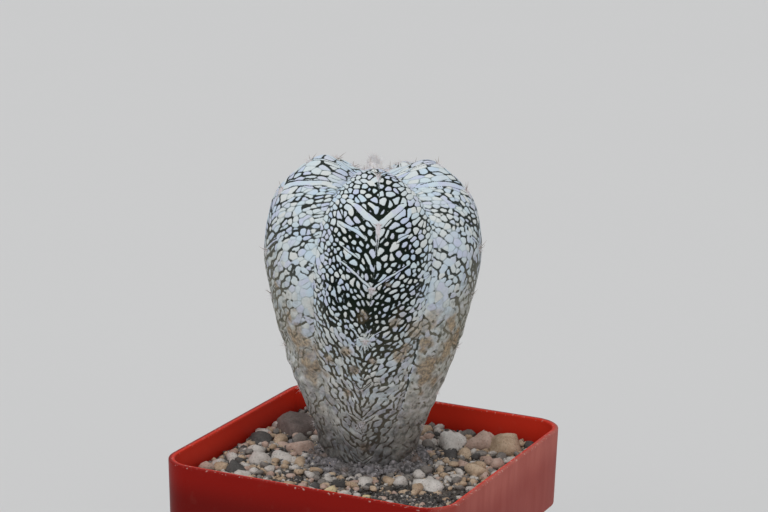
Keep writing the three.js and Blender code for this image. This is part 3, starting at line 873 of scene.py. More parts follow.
# A rib's smooth surface as a grid: rows at even lengths along the crest, from groove to groove. It gives
# the points, u, the lengths across the rib and up it, and the length of the crest.
def ribSurface(rib):
    rows, columns = ribGrids[rib]
    v, length = alongCrest(rib)
    rise = np.linspace(0, length[-1] - plant["apexGap"], rows)
    u, vGrid = np.meshgrid(np.linspace(-1, 1, columns + 1), np.interp(rise, length, v))
    base = plantSurface(rib, u, vGrid)
    step = np.linalg.norm(np.diff(base, axis=1), axis=2)
    across = np.concatenate([np.zeros((rows, 1)), np.cumsum(step, axis=1)], 1)
    across = across - across[:, columns // 2:columns // 2 + 1]
    return base, u, across, np.repeat(rise[:, None], columns + 1, 1), length[-1]


# The surface moved out by the flecks' relief, and out and in by broad swellings, more low down, and by the
# dent. The direction is the surface's own, turned to straight outward in the grooves. The relief ends at
# the grooves, and the swellings end at the ground and at the apex.
def raised(base, field, u, up, end):
    normal = unit(np.cross(np.gradient(base, axis=1), np.gradient(base, axis=0)))
    inner = 1 - smooth(0.93, 1, np.abs(u))
    radial = unit((base - (plant["x"], plant["y"], 0)) * (1, 1, 0) + 1e-9)
    normal = unit(normal * inner[..., None] + radial * (1 - inner)[..., None])
    relief = flecks["relief"] * smooth(-0.06, 0.16, field) * inner
    swell = 0.22 * lumps(base, 7.0, 11) + 0.10 * lumps(base, 2.6, 12)
    low = 1 - smooth(74, 90, base[..., 2])
    swell += low * (0.26 * lumps(base * (1, 1, 1.7), 2.6, 13) + 0.06 * lumps(base, 1.0, 14))
    away = np.linalg.norm(base - dent["place"], axis=-1)
    swell -= dent["depth"] * (1 - smooth(0, dent["radius"], away))
    swell *= smooth(0, 3, up) * (1 - smooth(end - 6, end, up))
    return base + normal * (relief + swell)[..., None]


# A rib as a closed fifth of the plant: under the surface, rows that narrow to the root; inside, a column of
# points on the axis, where its two flat walls meet; and at the ends a flat bottom and a fan to the apex.
def closedRib(surface):
    centre = np.array([plant["x"], plant["y"], plant["rootEnd"]])
    outward = (surface[0] - centre) * (1, 1, 0)
    rootRing = centre + plant["rootRadius"] * outward / np.linalg.norm(outward, axis=-1, keepdims=True)
    share = np.linspace(0, 1, plant["rootRows"] + 1)[:-1, None, None]
    grid = np.concatenate([rootRing + (surface[0] - rootRing) * share, surface])
    axis = centre + (apex - (0, 0, plant["axisDrop"]) - centre) * np.linspace(0, 1, len(grid))[:, None]
    closed = np.concatenate([axis[:, None], grid], 1)
    levels, sides = closed.shape[:2]
    ring = np.arange(1, sides)
    bottom = np.stack([np.zeros(sides - 2, int), ring[1:], ring[:-1]], -1)
    top = fanFaces(levels * sides, (levels - 1) * sides + np.arange(sides))
    return np.vstack([closed.reshape(-1, 3), apex]), [gridFaces(levels, sides, closed=True), bottom, top]


# One rib, with the values that its paint reads.
def addRib(rib, material):
    base, u, across, up, end = ribSurface(rib)
    t, z = np.abs(u), base[..., 2]
    field, felt, tone, line = whiteField(rib, across, up, u)
    if rib == 0:         # its seams are filled in where it has turned to cork
        spots = corkSpots(base) * smooth(0.85, 0.7, t)
        spots = spots + 0.30 * lumps(base, 0.7, 27) + 0.25 * lumps(base, 1.5, 28)
        field = np.maximum(field, 0.35 * (spots - 0.95))
    points, faces = closedRib(raised(base, field, u, up, end))
    hazy = (rib > 0) * (1 - haze["less"] * smooth(*haze["up"], z))
    hazy = np.maximum(hazy, haze["beside"] * smooth(0.6, 0.95, t))
    looks = {        # what the paint reads, and the value it has on the root and the axis
        # the height that the soil's stain and painted shade near the ground read
        "stain": (z - dusty["leftStainAndShadeHigher"] * (rib == leftRib) * (1 - u * u), 50),
        "haze": (hazy, 0),
        "line": (np.clip(line, 0, 0.6), 0.6),
        "fleck": (np.clip(field, -0.6, 0.6), 0.1),
        "felt": (np.clip(felt, -1, 1), -1),
        "tone": (tone, 0.5),
        "cork": (corkField(base, across), 0),
        "dust": (dustField(rib, base, u) * (1 - creaseField(rib, u, up)), 1),
    }
    attributes = {}
    for name, (values, elsewhere) in looks.items():
        whole = np.full((len(base) + plant["rootRows"], base.shape[1] + 1), elsewhere, float)
        whole[plant["rootRows"]:, 1:] = values
        attributes[name] = np.append(whole.ravel(), elsewhere)
    addPiece(f"cactusRib{rib + 1}", points, faces, material, "cactus", attributes,
             plant["sharpAngle"])


skinColours = {
    "flecks": [(0.1, (0.64, 0.71, 0.92)), (0.4, (0.64, 0.80, 0.94)), (0.7, (0.72, 0.85, 0.90)),
               (0.95, (0.82, 0.87, 0.86))],
    "cream": (0.82, 0.80, 0.76), "felt": ((0.78, 0.73, 0.77), (0.46, 0.37, 0.34)),
    "thinLine": (0.23, 0.29, 0.29), "grain": (0.42, 0.46, 0.48),
    "dusty": [(0.34, (0.17, 0.16, 0.12)), (0.45, (0.40, 0.38, 0.30)), (0.56, (0.60, 0.58, 0.51)),
              (0.70, (0.76, 0.76, 0.74))],
    "skin": ((0.004, 0.009, 0.006), (0.008, 0.015, 0.009)), "hazy": (0.082, 0.092, 0.082),
    "dustySkin": ((0.15, 0.14, 0.105), (0.29, 0.27, 0.21)),
    "blots": (0.065, 0.065, 0.042), "brown": (0.16, 0.15, 0.10),
    # the soil colour is that of the soil's stain and of painted shade near the ground
    "cork": ((0.17, 0.115, 0.06), (0.50, 0.36, 0.21)), "soil": (0.070, 0.066, 0.064),
}


# White flock over dark skin, parted by the fleck attribute with a fuzzy edge. The flock has a tone for each
# fleck, thin grey lines where a seam is too narrow to part two, and felt pads; then come dust, blots, cork
# and a stain from the soil that is also painted shade near the ground.
def paintSkin():
    p = Paint("cactusSkin")
    fleck, felt, tone, cork, dust = (p.own(name) for name in ("fleck", "felt", "tone", "cork", "dust"))
    height = p.height()
    fine = p.noise(0.22, detail=2)
    grain = p.noise(0.5, detail=3)
    patch = p.noise(4.5, detail=3)
    white = p.ramp(fleck + (fine - 0.5) * 0.16, -0.03, 0.07)
    cool = p.colours(tone, skinColours["flecks"])
    flock = p.mix(p.ramp(patch, 0.35, 0.65) * 0.4, cool, skinColours["cream"])
    pad = p.mix(p.ramp(p.noise(0.5, detail=2), 0.52, 0.70) * 0.5, *skinColours["felt"])
    flock = p.mix(p.ramp(felt, -0.05, 0.2), flock, pad)
    thin = 1 - p.ramp(p.own("line"), 0.02, 0.17)
    broken = 0.40 + 0.75 * p.ramp(p.noise(1.7, detail=2), 0.40, 0.60)
    darker = 0.62 + 0.30 * p.ramp(height, 98, 107) - 0.5 * dust
    flock = p.mix(thin * darker * broken, flock, skinColours["thinLine"])
    mottle = p.noise(1.3, detail=3, rough=0.6)
    dustTone = p.colours(mottle, skinColours["dusty"])
    flock = p.mix(dust * 0.9, flock, dustTone)
    flock = p.mix(0.3 * (1 - grain), flock, skinColours["grain"])
    skin = p.mix(p.ramp(patch, 0.3, 0.7), *skinColours["skin"])
    skin = p.mix(p.own("haze") * 0.8, skin, skinColours["hazy"])
    skin = p.mix(dust, skin, p.mix(grain, *skinColours["dustySkin"]))
    colour = p.mix(white, skin, flock)
    high = p.ramp(height, 71, 80)
    blots = p.ramp(p.noise(1.1, detail=1), 0.54, 0.67)
    colour = p.mix(blots * dust * (0.4 + 0.5 * high), colour, skinColours["blots"])
    colour = p.mix(dust * high * 0.22, colour, skinColours["brown"])
    tan = p.mix(p.ramp(grain, 0.35, 0.65), *skinColours["cork"])
    colour = p.mix(cork * (0.24 + 0.60 * white) * (0.45 + 0.8 * mottle), colour, tan)
    # a stain from the soil and painted shade: the skin darkens towards the ground
    soiledAndShaded = (1 - p.ramp(p.own("stain") + patch * 6, 55, 70)) * (0.36 + 0.8 * p.noise(1.1, detail=3))
    colour = p.mix(soiledAndShaded, colour, skinColours["soil"])
    roughness = 0.52 + 0.38 * white
    bump = fine * 0.6 + grain * 0.7 + white * 0.3
    return p.finish(colour, roughness, bump, 0.07, specular=0.08)


skinPaint = paintSkin()
for rib in range(plant["ribs"]):
    addRib(rib, skinPaint)
say("ribs")

# Hairs and spines

wool = {
    "hairsOnAreole": 46, "hairLength": 0.75, "hairRadius": 0.035, "longerNearCrown": 0.25,
    "spines": 2, "spineLength": 2.2, "spineRadius": 0.085, "spinesFrom": 0.36, "spineFan": 0.9,
    "crownHairs": 260, "crownRadius": 1.7, "crownHeight": 4.0, "crownHairLength": 1.1,
    "coreWidth": 0.72, "coreHeight": 0.7, "coreLevels": 14, "coreSides": 28,
    "fuzz": 600, "fuzzFrom": 0.94,
    "seed": 4,
}


# Tapered tubes with closed tips: each runs from its root along its direction and leans off by its bend,
# which grows as the square of the length run; the radius falls off to the tip.
def tubes(roots, directions, bends, lengths, radius, segments, sides):
    n = len(roots)
    t = np.linspace(0, 1, segments + 1)[:-1]
    along = t[None, :, None]
    lengths = lengths[:, None, None]
    line = roots[:, None] + directions[:, None] * lengths * along + bends[:, None] * (lengths * along ** 2)
    tip = roots + directions * lengths[:, 0] + bends * lengths[:, 0]
    helper = np.where(np.abs(directions[:, 2:3]) < 0.9, (0, 0, 1), (1, 0, 0))
    right = np.cross(directions, helper)
    right /= np.linalg.norm(right, axis=1, keepdims=True)
    front = np.cross(right, directions)
    turn = np.linspace(0, 2 * np.pi, sides, endpoint=False)
    circle = right[:, None] * np.cos(turn)[None, :, None] - front[:, None] * np.sin(turn)[None, :, None]
    thin = (1 - t ** 1.6)[None, :, None, None] * radius
    rings = line[:, :, None] + circle[:, None] * thin
    points = np.concatenate([rings.reshape(n, -1, 3), roots[:, None], tip[:, None]], 1).reshape(-1, 3)
    return points, repeated(skinFaces(segments, sides), n, segments * sides + 2)


# One piece of many tubes, from sets of roots, directions, bends and lengths.
def addStrands(name, sets, radius, segments, sides, material):
    roots, directions, bends, lengths = (np.concatenate(values) for values in zip(*sets))
    points, faces = tubes(roots, directions, bends, lengths, radius, segments, sides)
    addPiece(name, points, faces, material, "cactus")


# The place on a crest and the directions outward, along the crest and across it.
def crestFrame(rib, v):
    here, ahead, beside = (plantSurface(rib, np.array([u]), np.array([w]))[0]
                           for u, w in ((0, v), (0, v + 0.004), (0.02, v)))
    along, across = unit(ahead - here), unit(beside - here)
    return here, unit(np.cross(across, along)), along, across


# Tufts of short hairs at the areoles, each in a random direction, and fans of spines on the higher ones.
def addHairs(hairPaint, spinePaint):
    rng = np.random.default_rng(wool["seed"])
    hairs, spines = [], []
    for rib in range(plant["ribs"]):
        for v, _, _, feltWidth, _ in areolesOf(rib):
            here, outward, along, across = crestFrame(rib, v)
            n = wool["hairsOnAreole"]
            spread = rng.normal(0, 0.38, (n, 2)) * feltWidth * 1.2
            place = here + across * spread[:, :1] + along * (spread[:, 1:] * 1.3 - 0.2)
            directions = unit(outward + 0.8 * rng.normal(0, 1, (n, 3)))
            bends = rng.normal(0, 0.45, (n, 3))
            nearCrown = 1 + wool["longerNearCrown"] * (v > 0.75)
            lengths = rng.uniform(0.5, 1.2, n) * wool["hairLength"] * (0.5 + feltWidth) * nearCrown
            hairs.append((place - outward * 0.15, directions, bends, lengths))
            if v < wool["spinesFrom"]:
                continue
            n = wool["spines"]
            fan = np.linspace(-wool["spineFan"], wool["spineFan"], n)[:, None] + rng.normal(0, 0.15, (n, 1))
            directions = unit(outward + across * fan + along * rng.uniform(-0.1, 0.7, (n, 1)))
            bends = along * rng.uniform(0.1, 0.5, (n, 1)) + rng.normal(0, 0.12, (n, 3))
            lengths = rng.uniform(0.6, 1.05, n) * wool["spineLength"]
            spines.append((np.repeat(here[None], n, 0) - outward * 0.2, directions, bends, lengths))
    addStrands("areoleFelt", hairs, wool["hairRadius"], 3, 3, hairPaint)
    addStrands("spines", spines, wool["spineRadius"], 6, 5, spinePaint)


# A mound of wool on the apex: a rough core, with hairs that start on it and curl, and shorter fuzz on the
# ends of the ribs round it.
def addCrownWool(hairPaint):
    rng = np.random.default_rng(wool["seed"] + 1)
    rise = np.linspace(0.04, 0.97, wool["coreLevels"])[:, None]
    turn = np.linspace(0, 2 * np.pi, wool["coreSides"], endpoint=False)[None]
    radius = wool["crownRadius"] * wool["coreWidth"] * np.sqrt(1 - rise ** 3)
    rings = np.stack([apex[0] + radius * np.cos(turn), apex[1] + radius * np.sin(turn),
                      apex[2] - 0.5 + wool["coreHeight"] * wool["crownHeight"] * (rise + 0 * turn)], -1)
    rings += 0.5 * lumps(rings, 0.8, 31)[..., None] * unit(rings - apex)
    coreTop = apex + (0, 0, wool["coreHeight"] * wool["crownHeight"] - 0.5)
    points, faces = skinOver(rings, apex - (0, 0, 0.6), coreTop)
    addPiece("crownWoolCore", points, faces, hairPaint, "cactus")
    n = wool["crownHairs"]
    turn, out = rng.uniform(0, 2 * np.pi, n), np.sqrt(rng.uniform(0, 1, n))
    flat = np.stack([np.cos(turn) * out, np.sin(turn) * out, np.zeros(n)], -1)
    roots = apex + flat * wool["crownRadius"] * 0.9
    roots[:, 2] += wool["crownHeight"] * (1 - out ** 3) ** 0.5 * rng.uniform(0.6, 0.95, n) - 0.3
    directions = unit(flat * 0.9 + (0, 0, 0.8) + 0.7 * rng.normal(0, 1, (n, 3)))
    bends, lengths = rng.normal(0, 0.6, (n, 3)), rng.uniform(0.5, 1.1, n) * wool["crownHairLength"]
    addStrands("crownWool", [(roots, directions, bends, lengths)], wool["hairRadius"], 4, 3, hairPaint)
    roots, directions = [], []
    for rib in range(plant["ribs"]):
        n = wool["fuzz"] // plant["ribs"]
        u, v = rng.uniform(-1, 1, n), 1 - (1 - wool["fuzzFrom"]) * np.sqrt(rng.uniform(0, 1, n))
        roots.append(plantSurface(rib, u, v) - (0, 0, 0.1))
        directions.append(unit((0, 0, 1) + 0.6 * rng.normal(0, 1, (n, 3))))
    roots, directions = np.vstack(roots), np.vstack(directions)
    bends, lengths = rng.normal(0, 0.3, roots.shape), rng.uniform(0.3, 0.9, len(roots))
    addStrands("crownFuzz", [(roots, directions, bends, lengths)], wool["hairRadius"], 3, 3, hairPaint)


woolTints = [(0.35, (0.90, 0.88, 0.93)), (0.5, (0.94, 0.92, 0.91)), (0.62, (0.92, 0.80, 0.77)),
             (0.75, (0.90, 0.84, 0.70))]


# White wool with faint mauve, pink and yellow tints, and greyer specks.
def paintWool():
    p = Paint("wool")
    colour = p.colours(p.noise(1.3, detail=2), woolTints)
    colour = p.mix(p.ramp(p.noise(0.4, detail=2), 0.52, 0.68) * 0.3, colour, (0.44, 0.40, 0.38))
    return p.finish(colour, 0.9)


# Spines mottled from brown to grey.
def paintSpines():
    p = Paint("spine")
    colour = p.mix(p.noise(1.2, detail=2), (0.22, 0.17, 0.13), (0.52, 0.45, 0.40))
    return p.finish(colour, 0.55)


hairPaint = paintWool()
addHairs(hairPaint, paintSpines())
addCrownWool(hairPaint)
say("hairs and spines")

# The soil and the stones

gravel = {
    "soilTop": 49.3, "bedTop": 50.7, "level": 51.2, "bedSteps": 96,
    "gap": 0.15, "stoneMargin": 0.6, "gritMargin": 0.5, "stemMargin": 1.8,
    "smallest": 0.7, "largest": 1.7, "tries": 3600, "spacing": 0.82,
    "grains": 3200, "cornerGrains": 3400, "crumbs": 800,
    "corner": (19, -19), "cornerRadius": 14.5, "heap": (17, -20), "heapRadius": 9,
    "seed": 21,
}
# The rows and columns of points on a block, by its size.
blockGrids = {"large": (12, 18), "small": (5, 10), "grain": (2, 5), "crumb": (3, 6)}
# Some dark and grey stones below stand where there is shade between stones, and are partly painted shade.
# The larger stones: x, y, radius, kind.
largeStones = [
    (-26.3, -12.7, 1.6, "pale"), (-25.9, -8.2, 1.5, "pale"), (-23.4, -2.7, 1.5, "pale"),
    (-19.6, -8.2, 2.0, "pale"), (-17.0, -4.1, 2.4, "pale"), (-15.4, 1.7, 2.5, "pink"),
    (-11.9, -5.5, 1.6, "tan"), (-23.0, -9.6, 1.1, "dark"), (-25.5, 3.4, 2.0, "dark"),
    (-22.0, 12.6, 3.8, "brown"), (-21.5, -14.6, 2.0, "dark"), (-15.1, -11.8, 1.0, "pale"),
    (-17.4, -14.4, 1.1, "pale"), (-3.5, -12.8, 1.0, "grey"), (-7.4, -15.5, 0.7, "dark"),
    (0.4, -17.0, 1.1, "yellow"), (7.8, -16.2, 0.9, "yellow"), (2.8, -13.9, 0.6, "pink"),
    (-11.6, -14.5, 1.1, "tan"), (9.5, 18.6, 2.9, "white"), (15.7, -5.0, 2.2, "white"),
    (14.5, -7.9, 1.3, "tan"), (12.4, 6.9, 0.9, "pale"), (16.5, 8.8, 1.2, "pink"), (20.6, 6.0, 2.2, "tan"),
    (14.8, 21.6, 2.7, "pink"), (20.6, 21.2, 3.4, "tan"), (23.8, 16.3, 1.5, "pale"), (5.4, 16.4, 1.5, "grey"),
    (1.0, 24.1, 1.5, "tan"), (-10.5, 22.5, 2.9, "pink"), (24.6, -1.2, 1.3, "tan"), (22.6, 11.3, 1.6, "pink"),
    (19.4, -0.5, 1.1, "grey"),
]
# The colours of each kind at four levels of its noise.
stoneLevels = (0.25, 0.45, 0.6, 0.8)
stoneKinds = {
    "white": ((0.36, 0.33, 0.29), (0.56, 0.53, 0.49), (0.70, 0.67, 0.63), (0.50, 0.46, 0.41)),
    "pale": ((0.28, 0.25, 0.22), (0.50, 0.46, 0.42), (0.62, 0.58, 0.54), (0.42, 0.37, 0.31)),
    "tan": ((0.22, 0.14, 0.08), (0.42, 0.30, 0.20), (0.58, 0.45, 0.32), (0.31, 0.22, 0.15)),
    "pink": ((0.26, 0.16, 0.12), (0.44, 0.30, 0.24), (0.56, 0.42, 0.35), (0.36, 0.24, 0.19)),
    "yellow": ((0.42, 0.30, 0.14), (0.60, 0.47, 0.25), (0.70, 0.60, 0.38), (0.52, 0.40, 0.20)),
    "grey": ((0.10, 0.09, 0.08), (0.18, 0.16, 0.145), (0.27, 0.245, 0.22), (0.15, 0.13, 0.115)),
    "brown": ((0.055, 0.042, 0.036), (0.12, 0.09, 0.08), (0.20, 0.155, 0.14), (0.10, 0.075, 0.065)),
    "dark": ((0.028, 0.027, 0.026), (0.055, 0.05, 0.047), (0.10, 0.095, 0.09), (0.05, 0.045, 0.04)),
}
kindShares = {"pale": 0.22, "tan": 0.31, "pink": 0.14, "grey": 0.22, "dark": 0.11}
# The grit of each kind: its share of the grains over the bed, and of those in the front corner.
gritKinds = {"pale": (0.20, 0.02), "tan": (0.26, 0.04), "grey": (0.30, 0.24), "dark": (0.24, 0.70)}


# How far a place is from the stem's skin.
def fromStem(x, y):
    return np.hypot(x - plant["x"], y - plant["y"]) - stemRadius


# The front corner, which holds fine grit and few stones.
def inGritCorner(x, y):
    cx, cy = gravel["corner"]
    return np.hypot(x - cx, y - cy) < gravel["cornerRadius"]


# The listed stones, and then as many as find room in so many tries, more of them small.
def stonePlaces(rng):
    names, shares = list(kindShares), list(kindShares.values())
    stones = list(largeStones)
    reach = bandHalf(gravel["level"]) - pot["wall"] - gravel["stoneMargin"]
    for _ in range(gravel["tries"]):
        radius = gravel["smallest"] + (gravel["largest"] - gravel["smallest"]) * rng.random() ** 2
        x, y = rng.uniform(-reach + radius * 0.7, reach - radius * 0.7, 2)
        if fromStem(x, y) < radius + gravel["stemMargin"] + rng.uniform(0, 1.5):
            continue
        if inGritCorner(x, y) and (radius > 0.9 or rng.random() < 0.8):
            continue
        if all(math.hypot(x - sx, y - sy) > gravel["spacing"] * (radius + sr) for sx, sy, sr, _ in stones):
            stones.append((x, y, radius, str(rng.choice(names, p=shares))))
    return stones


# What each block gets at random: the directions and distances of its flat faces, its turn and its tilt.
def blockDraws(n, rng, faces=12, tilt=0.5):
    flats = unit(rng.normal(0, 1, (n, faces, 3)))
    distances = rng.uniform(0.72, 1.1, (n, faces, 1))
    return flats, distances, rng.uniform(0, 2 * np.pi, n), rng.normal(0, tilt, n)


# Matrices that turn by each angle, in the plane of axes i and j.
def turnsBy(angles, i, j):
    turns = np.tile(np.eye(3), (len(angles), 1, 1))
    turns[:, i, i] = turns[:, j, j] = np.cos(angles)
    turns[:, i, j], turns[:, j, i] = -np.sin(angles), np.sin(angles)
    return turns


# Rounded blocks: a unit ball whose radius each way is cut back by the flat faces, softened by a high power
# mean. Each is then squashed, turned and put in its place.
def blocksAt(centres, sizes, draws, rows, columns, power=16.0):
    flats, distances, turn, tilt = draws
    rise = np.linspace(0, np.pi, rows + 2)[1:-1]
    sweep = np.linspace(0, 2 * np.pi, columns, endpoint=False)
    ball = np.stack([np.outer(np.sin(rise), np.cos(sweep)), np.outer(np.sin(rise), np.sin(sweep)),
                     np.outer(np.cos(rise), np.ones(columns))], -1)[::-1].reshape(-1, 3)
    ball = np.vstack([ball, (0, 0, -1), (0, 0, 1)])
    facing = np.clip(np.einsum("nfk,mk->nfm", flats, ball) / distances, 0, None)
    radius = (facing ** power).sum(1) ** (-1 / power)
    shape = ball[None] * np.clip(radius, 0.5, 1.35)[..., None] * sizes[:, None]
    shape = np.einsum("nij,njk,nmk->nmi", turnsBy(turn, 0, 1), turnsBy(tilt, 1, 2), shape) + centres[:, None]
    return shape.reshape(-1, 3), repeated(skinFaces(rows, columns), len(centres), rows * columns + 2)


# Blocks with a rough skin: each point is moved along the line from its block's centre by value noise.
def roughStones(centres, radius, sizes, draws, rows, columns):
    points, faces = blocksAt(centres, sizes, draws, rows, columns)
    each = rows * columns + 2
    rough = np.repeat(0.04 + 0.05 * radius, each) * lumps(points, 1.2, 40) + 0.05 * lumps(points, 0.4, 41)
    return points + unit(points - np.repeat(centres, each, 0)) * rough[:, None], faces


# Points that would cross the pot's wall are moved back to just clear of it.
def keptInside(points):
    x, y, z = points.T
    limit = bandHalf(z) - pot["wall"] - gravel["gap"]
    corner = cornerAt(z) - pot["wall"] - gravel["gap"]
    x, y = np.clip(x, -limit, limit), np.clip(y, -limit, limit)
    cx, cy = np.abs(x) - (limit - corner), np.abs(y) - (limit - corner)
    inCorner = (cx > 0) & (cy > 0)
    far = np.hypot(np.maximum(cx, 1e-6), np.maximum(cy, 1e-6))
    pull = np.where(inCorner & (far > corner), corner / far, 1.0)
    x = np.where(inCorner, np.sign(x) * (limit - corner + cx * pull), x)
    y = np.where(inCorner, np.sign(y) * (limit - corner + cy * pull), y)
    return np.column_stack([x, y, z])


# The stones, a piece for each kind. The small ones have fewer faces.
def addStones(rng):
    stones = stonePlaces(rng)
    for kind in stoneKinds:
        chosen = np.array([stone[:3] for stone in stones if stone[3] == kind])
        radius = chosen[:, 2]
        n = len(chosen)
        height = gravel["level"] + rng.uniform(-0.5, 0.35, n) - 0.05 * radius
        centres = np.column_stack([chosen[:, :2], height])
        sizes = radius[:, None] * np.column_stack([rng.uniform(0.95, 1.25, n), rng.uniform(0.8, 1, n),
                                                  rng.uniform(0.5, 0.68, n) + 0.09 * np.minimum(radius, 2.6)])
        draws = blockDraws(n, rng)
        large = radius > gravel["largest"]
        points, faces = joined([
            roughStones(centres[which], radius[which], sizes[which], [draw[which] for draw in draws], *grid)
            for which, grid in ((large, blockGrids["large"]), (~large, blockGrids["small"]))])
        addPiece(kind + "Stones", keptInside(points), faces, paintStone(kind), "gravel")


# The height of the bed: raised in the front corner and round the stem, and lumpy.
def bedHeight(x, y):
    spot = np.stack([x, y, 0 * x], -1)
    hx, hy = gravel["heap"]
    heaped = 0.7 * np.exp(-(np.hypot(x - hx, y - hy) / gravel["heapRadius"]) ** 2)
    heaped = heaped + 0.9 * np.exp(-(np.clip(fromStem(x, y), 0, None) / 2.4) ** 2)
    return gravel["bedTop"] + heaped + 0.25 * lumps(spot, 2.4, 50) + 0.16 * lumps(spot, 0.8, 51)


# Fine grit strewn over the bed, with more of it in the front corner.
def addGrit(rng):
    reach = bandHalf(gravel["level"]) - pot["wall"] - gravel["gritMargin"]
    for kind, (share, cornerShare) in gritKinds.items():
        n, nCorner = int(gravel["grains"] * share), int(gravel["cornerGrains"] * cornerShare)
        flat = rng.uniform(-reach, reach, (2 * n, 2))
        flat = flat[(fromStem(*flat.T) > 0.3) & ~inGritCorner(*flat.T)][:n]
        flat = np.vstack([flat, np.clip(rng.normal(0, 6, (nCorner, 2)) + gravel["corner"], -reach, reach)])
        radius = rng.uniform(0.22, 0.58, len(flat)) * np.where(inGritCorner(*flat.T), 0.68, 1)
        centres = np.column_stack([flat, bedHeight(*flat.T) + rng.uniform(-0.1, 0.35, len(flat))])
        sizes = radius[:, None] * rng.uniform(0.7, 1.2, (len(flat), 3))
        points, faces = blocksAt(centres, sizes, blockDraws(len(flat), rng, tilt=1.0), *blockGrids["grain"])
        material = bpy.data.materials[kind + "Stone"]
        addPiece(kind + "Grit", keptInside(points), faces, material, "gravel")


# Dark crumbs heaped round the stem.
def addCrumbs(rng):
    n = gravel["crumbs"]
    turn, out = rng.uniform(0, 2 * np.pi, n), rng.gamma(1.6, 1.15, n)
    x, y = (plant[axis] + (stemRadius + out) * way(turn) for axis, way in (("x", np.cos), ("y", np.sin)))
    centres = np.column_stack([x, y, bedHeight(x, y) + 0.2 + rng.uniform(0, 0.9, n) * np.exp(-out / 2.5)])
    sizes = rng.uniform(0.35, 0.9, (n, 1)) * rng.uniform(0.6, 1.2, (n, 3))
    points, faces = blocksAt(centres, sizes, blockDraws(n, rng, tilt=1.0), *blockGrids["crumb"])
    addPiece("crumbs", keptInside(points), faces, paintCrumbs(), "gravel")


# The bed that the stones lie in: a closed slab inside the pot, rough on top, with the stem standing in it.
def addBed(material):
    steps = gravel["bedSteps"]
    half = bandHalf(gravel["soilTop"]) - pot["wall"] - gravel["gap"]
    line = np.linspace(-half, half, steps)
    x, y = np.meshgrid(line, line)
    top = keptInside(np.stack([x, y, bedHeight(x, y)], -1).reshape(-1, 3))
    under = top.copy()
    under[:, 2] = gravel["soilTop"] + 0.02
    faces = gridFaces(steps, steps)
    index = np.arange(steps * steps).reshape(steps, steps)
    rim = np.concatenate([index[0, :-1], index[:-1, -1], index[-1, :0:-1], index[:0:-1, 0]])
    following = np.roll(rim, -1)
    lower = steps * steps
    wall = np.stack([rim + lower, following + lower, following, rim], -1)
    addPiece("gravelBed", np.vstack([top, under]), [faces, faces[:, ::-1] + lower, wall], material,
             "gravel")


# Stone coloured by two noises, with darker pits.
def paintStone(kind):
    p = Paint(kind + "Stone")
    broad = p.noise(3.2, detail=4, rough=0.6)
    speck = p.noise(0.45, detail=3, rough=0.7)
    colour = p.colours(broad * 0.6 + speck * 0.4, list(zip(stoneLevels, stoneKinds[kind])))
    grit = p.ramp(p.cells(0.55), 0.12, 0.32)
    colour = p.mix(0.45 * (1 - grit), colour, (0.07, 0.06, 0.05))
    return p.finish(colour, 0.72 + 0.2 * speck, speck * 0.6 + p.noise(1.6) * 0.6, 0.16)


crumbColours = {
    "tints": [(0.35, (0.06, 0.056, 0.055)), (0.48, (0.14, 0.130, 0.128)), (0.6, (0.25, 0.235, 0.24)),
              (0.72, (0.50, 0.47, 0.49))],
    "brown": (0.19, 0.125, 0.09), "grey": (0.35, 0.33, 0.36),
}


# Damp crumbs from black to mauve grey, browner and greyer in patches.
def paintCrumbs():
    p = Paint("damp")
    tint = p.noise(0.9, detail=3, rough=0.7)
    colour = p.colours(tint, crumbColours["tints"])
    broad = p.noise(3.5, detail=2)
    colour = p.mix(p.ramp(broad, 0.55, 0.70) * 0.6, colour, crumbColours["brown"])
    colour = p.mix(p.ramp(broad, 0.45, 0.32) * 0.4, colour, crumbColours["grey"])
    return p.finish(colour, 0.85, tint, 0.1)


soilTones = [(0.3, (0.028, 0.023, 0.019)), (0.5, (0.085, 0.070, 0.058)), (0.7, (0.17, 0.145, 0.12))]


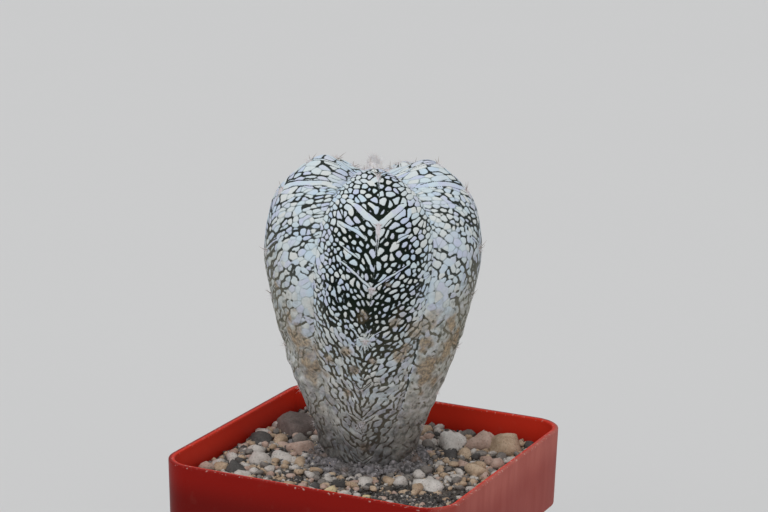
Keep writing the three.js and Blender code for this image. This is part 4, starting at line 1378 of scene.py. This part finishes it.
# Dark soil with clods and pale bits. Light is how strongly the bits show.
def paintSoil(name, light):
    p = Paint(name)
    clods = p.noise(1.6, detail=5, rough=0.7)
    bits = p.cells(0.7)
    colour = p.colours(clods, soilTones)
    colour = p.mix(p.ramp(bits, 0.30, 0.12) * light, colour, (0.36, 0.32, 0.27))
    return p.finish(colour, 0.95, clods + bits * 0.5, 0.5)


rng = np.random.default_rng(gravel["seed"])
addStones(rng)
addGrit(rng)
addCrumbs(rng)
addBed(paintSoil("gravelDust", 0.5))
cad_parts["soil"].data.materials.clear()
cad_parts["soil"].data.materials.append(paintSoil("pottingSoil", 0.25))
say("soil and stones")

# The floor and the light

studio = {
    "floorSize": 8.0, "floorTone": (0.725, 0.725, 0.72), "floorDarker": 0.985,
    "worldTone": (0.97, 0.98, 1.0), "worldStrength": 0.50,
    "sunStrength": 1.25, "sunSpread": 75,
    "sunLean": (1, 30),           # degrees it leans to the right and to the front
}


# A large pale floor, a little darker in patches.
def addFloor():
    p = Paint("paleFloor")
    darker = [c * studio["floorDarker"] for c in studio["floorTone"]]
    tone = p.mix(p.noise(160, detail=2), studio["floorTone"], darker)
    half = studio["floorSize"] / 2
    mesh = bpy.data.meshes.new("floor")
    corners = [(-half, -half, 0), (half, -half, 0), (half, half, 0), (-half, half, 0)]
    mesh.from_pydata(corners, [], [(0, 1, 2, 3)])
    mesh.materials.append(p.finish(tone, 0.9, specular=0.1))
    floor = bpy.data.objects.new("floor", mesh)
    bpy.context.scene.collection.objects.link(floor)


# An even pale sky and one soft sun.
def addLight():
    world = bpy.data.worlds.new("studio")
    bpy.context.scene.world = world
    world.use_nodes = True
    background = world.node_tree.nodes["Background"]
    background.inputs["Color"].default_value = (*studio["worldTone"], 1)
    background.inputs["Strength"].default_value = studio["worldStrength"]
    data = bpy.data.lights.new("softSun", "SUN")
    data.energy = studio["sunStrength"]
    data.angle = math.radians(studio["sunSpread"])
    sun = bpy.data.objects.new("softSun", data)
    toRight, toFront = (math.radians(lean) for lean in studio["sunLean"])
    sun.rotation_euler = (toFront, toRight, 0)
    bpy.context.scene.collection.objects.link(sun)


addFloor()
addLight()
bpy.context.scene.view_settings.view_transform = "Standard"
say("studio")
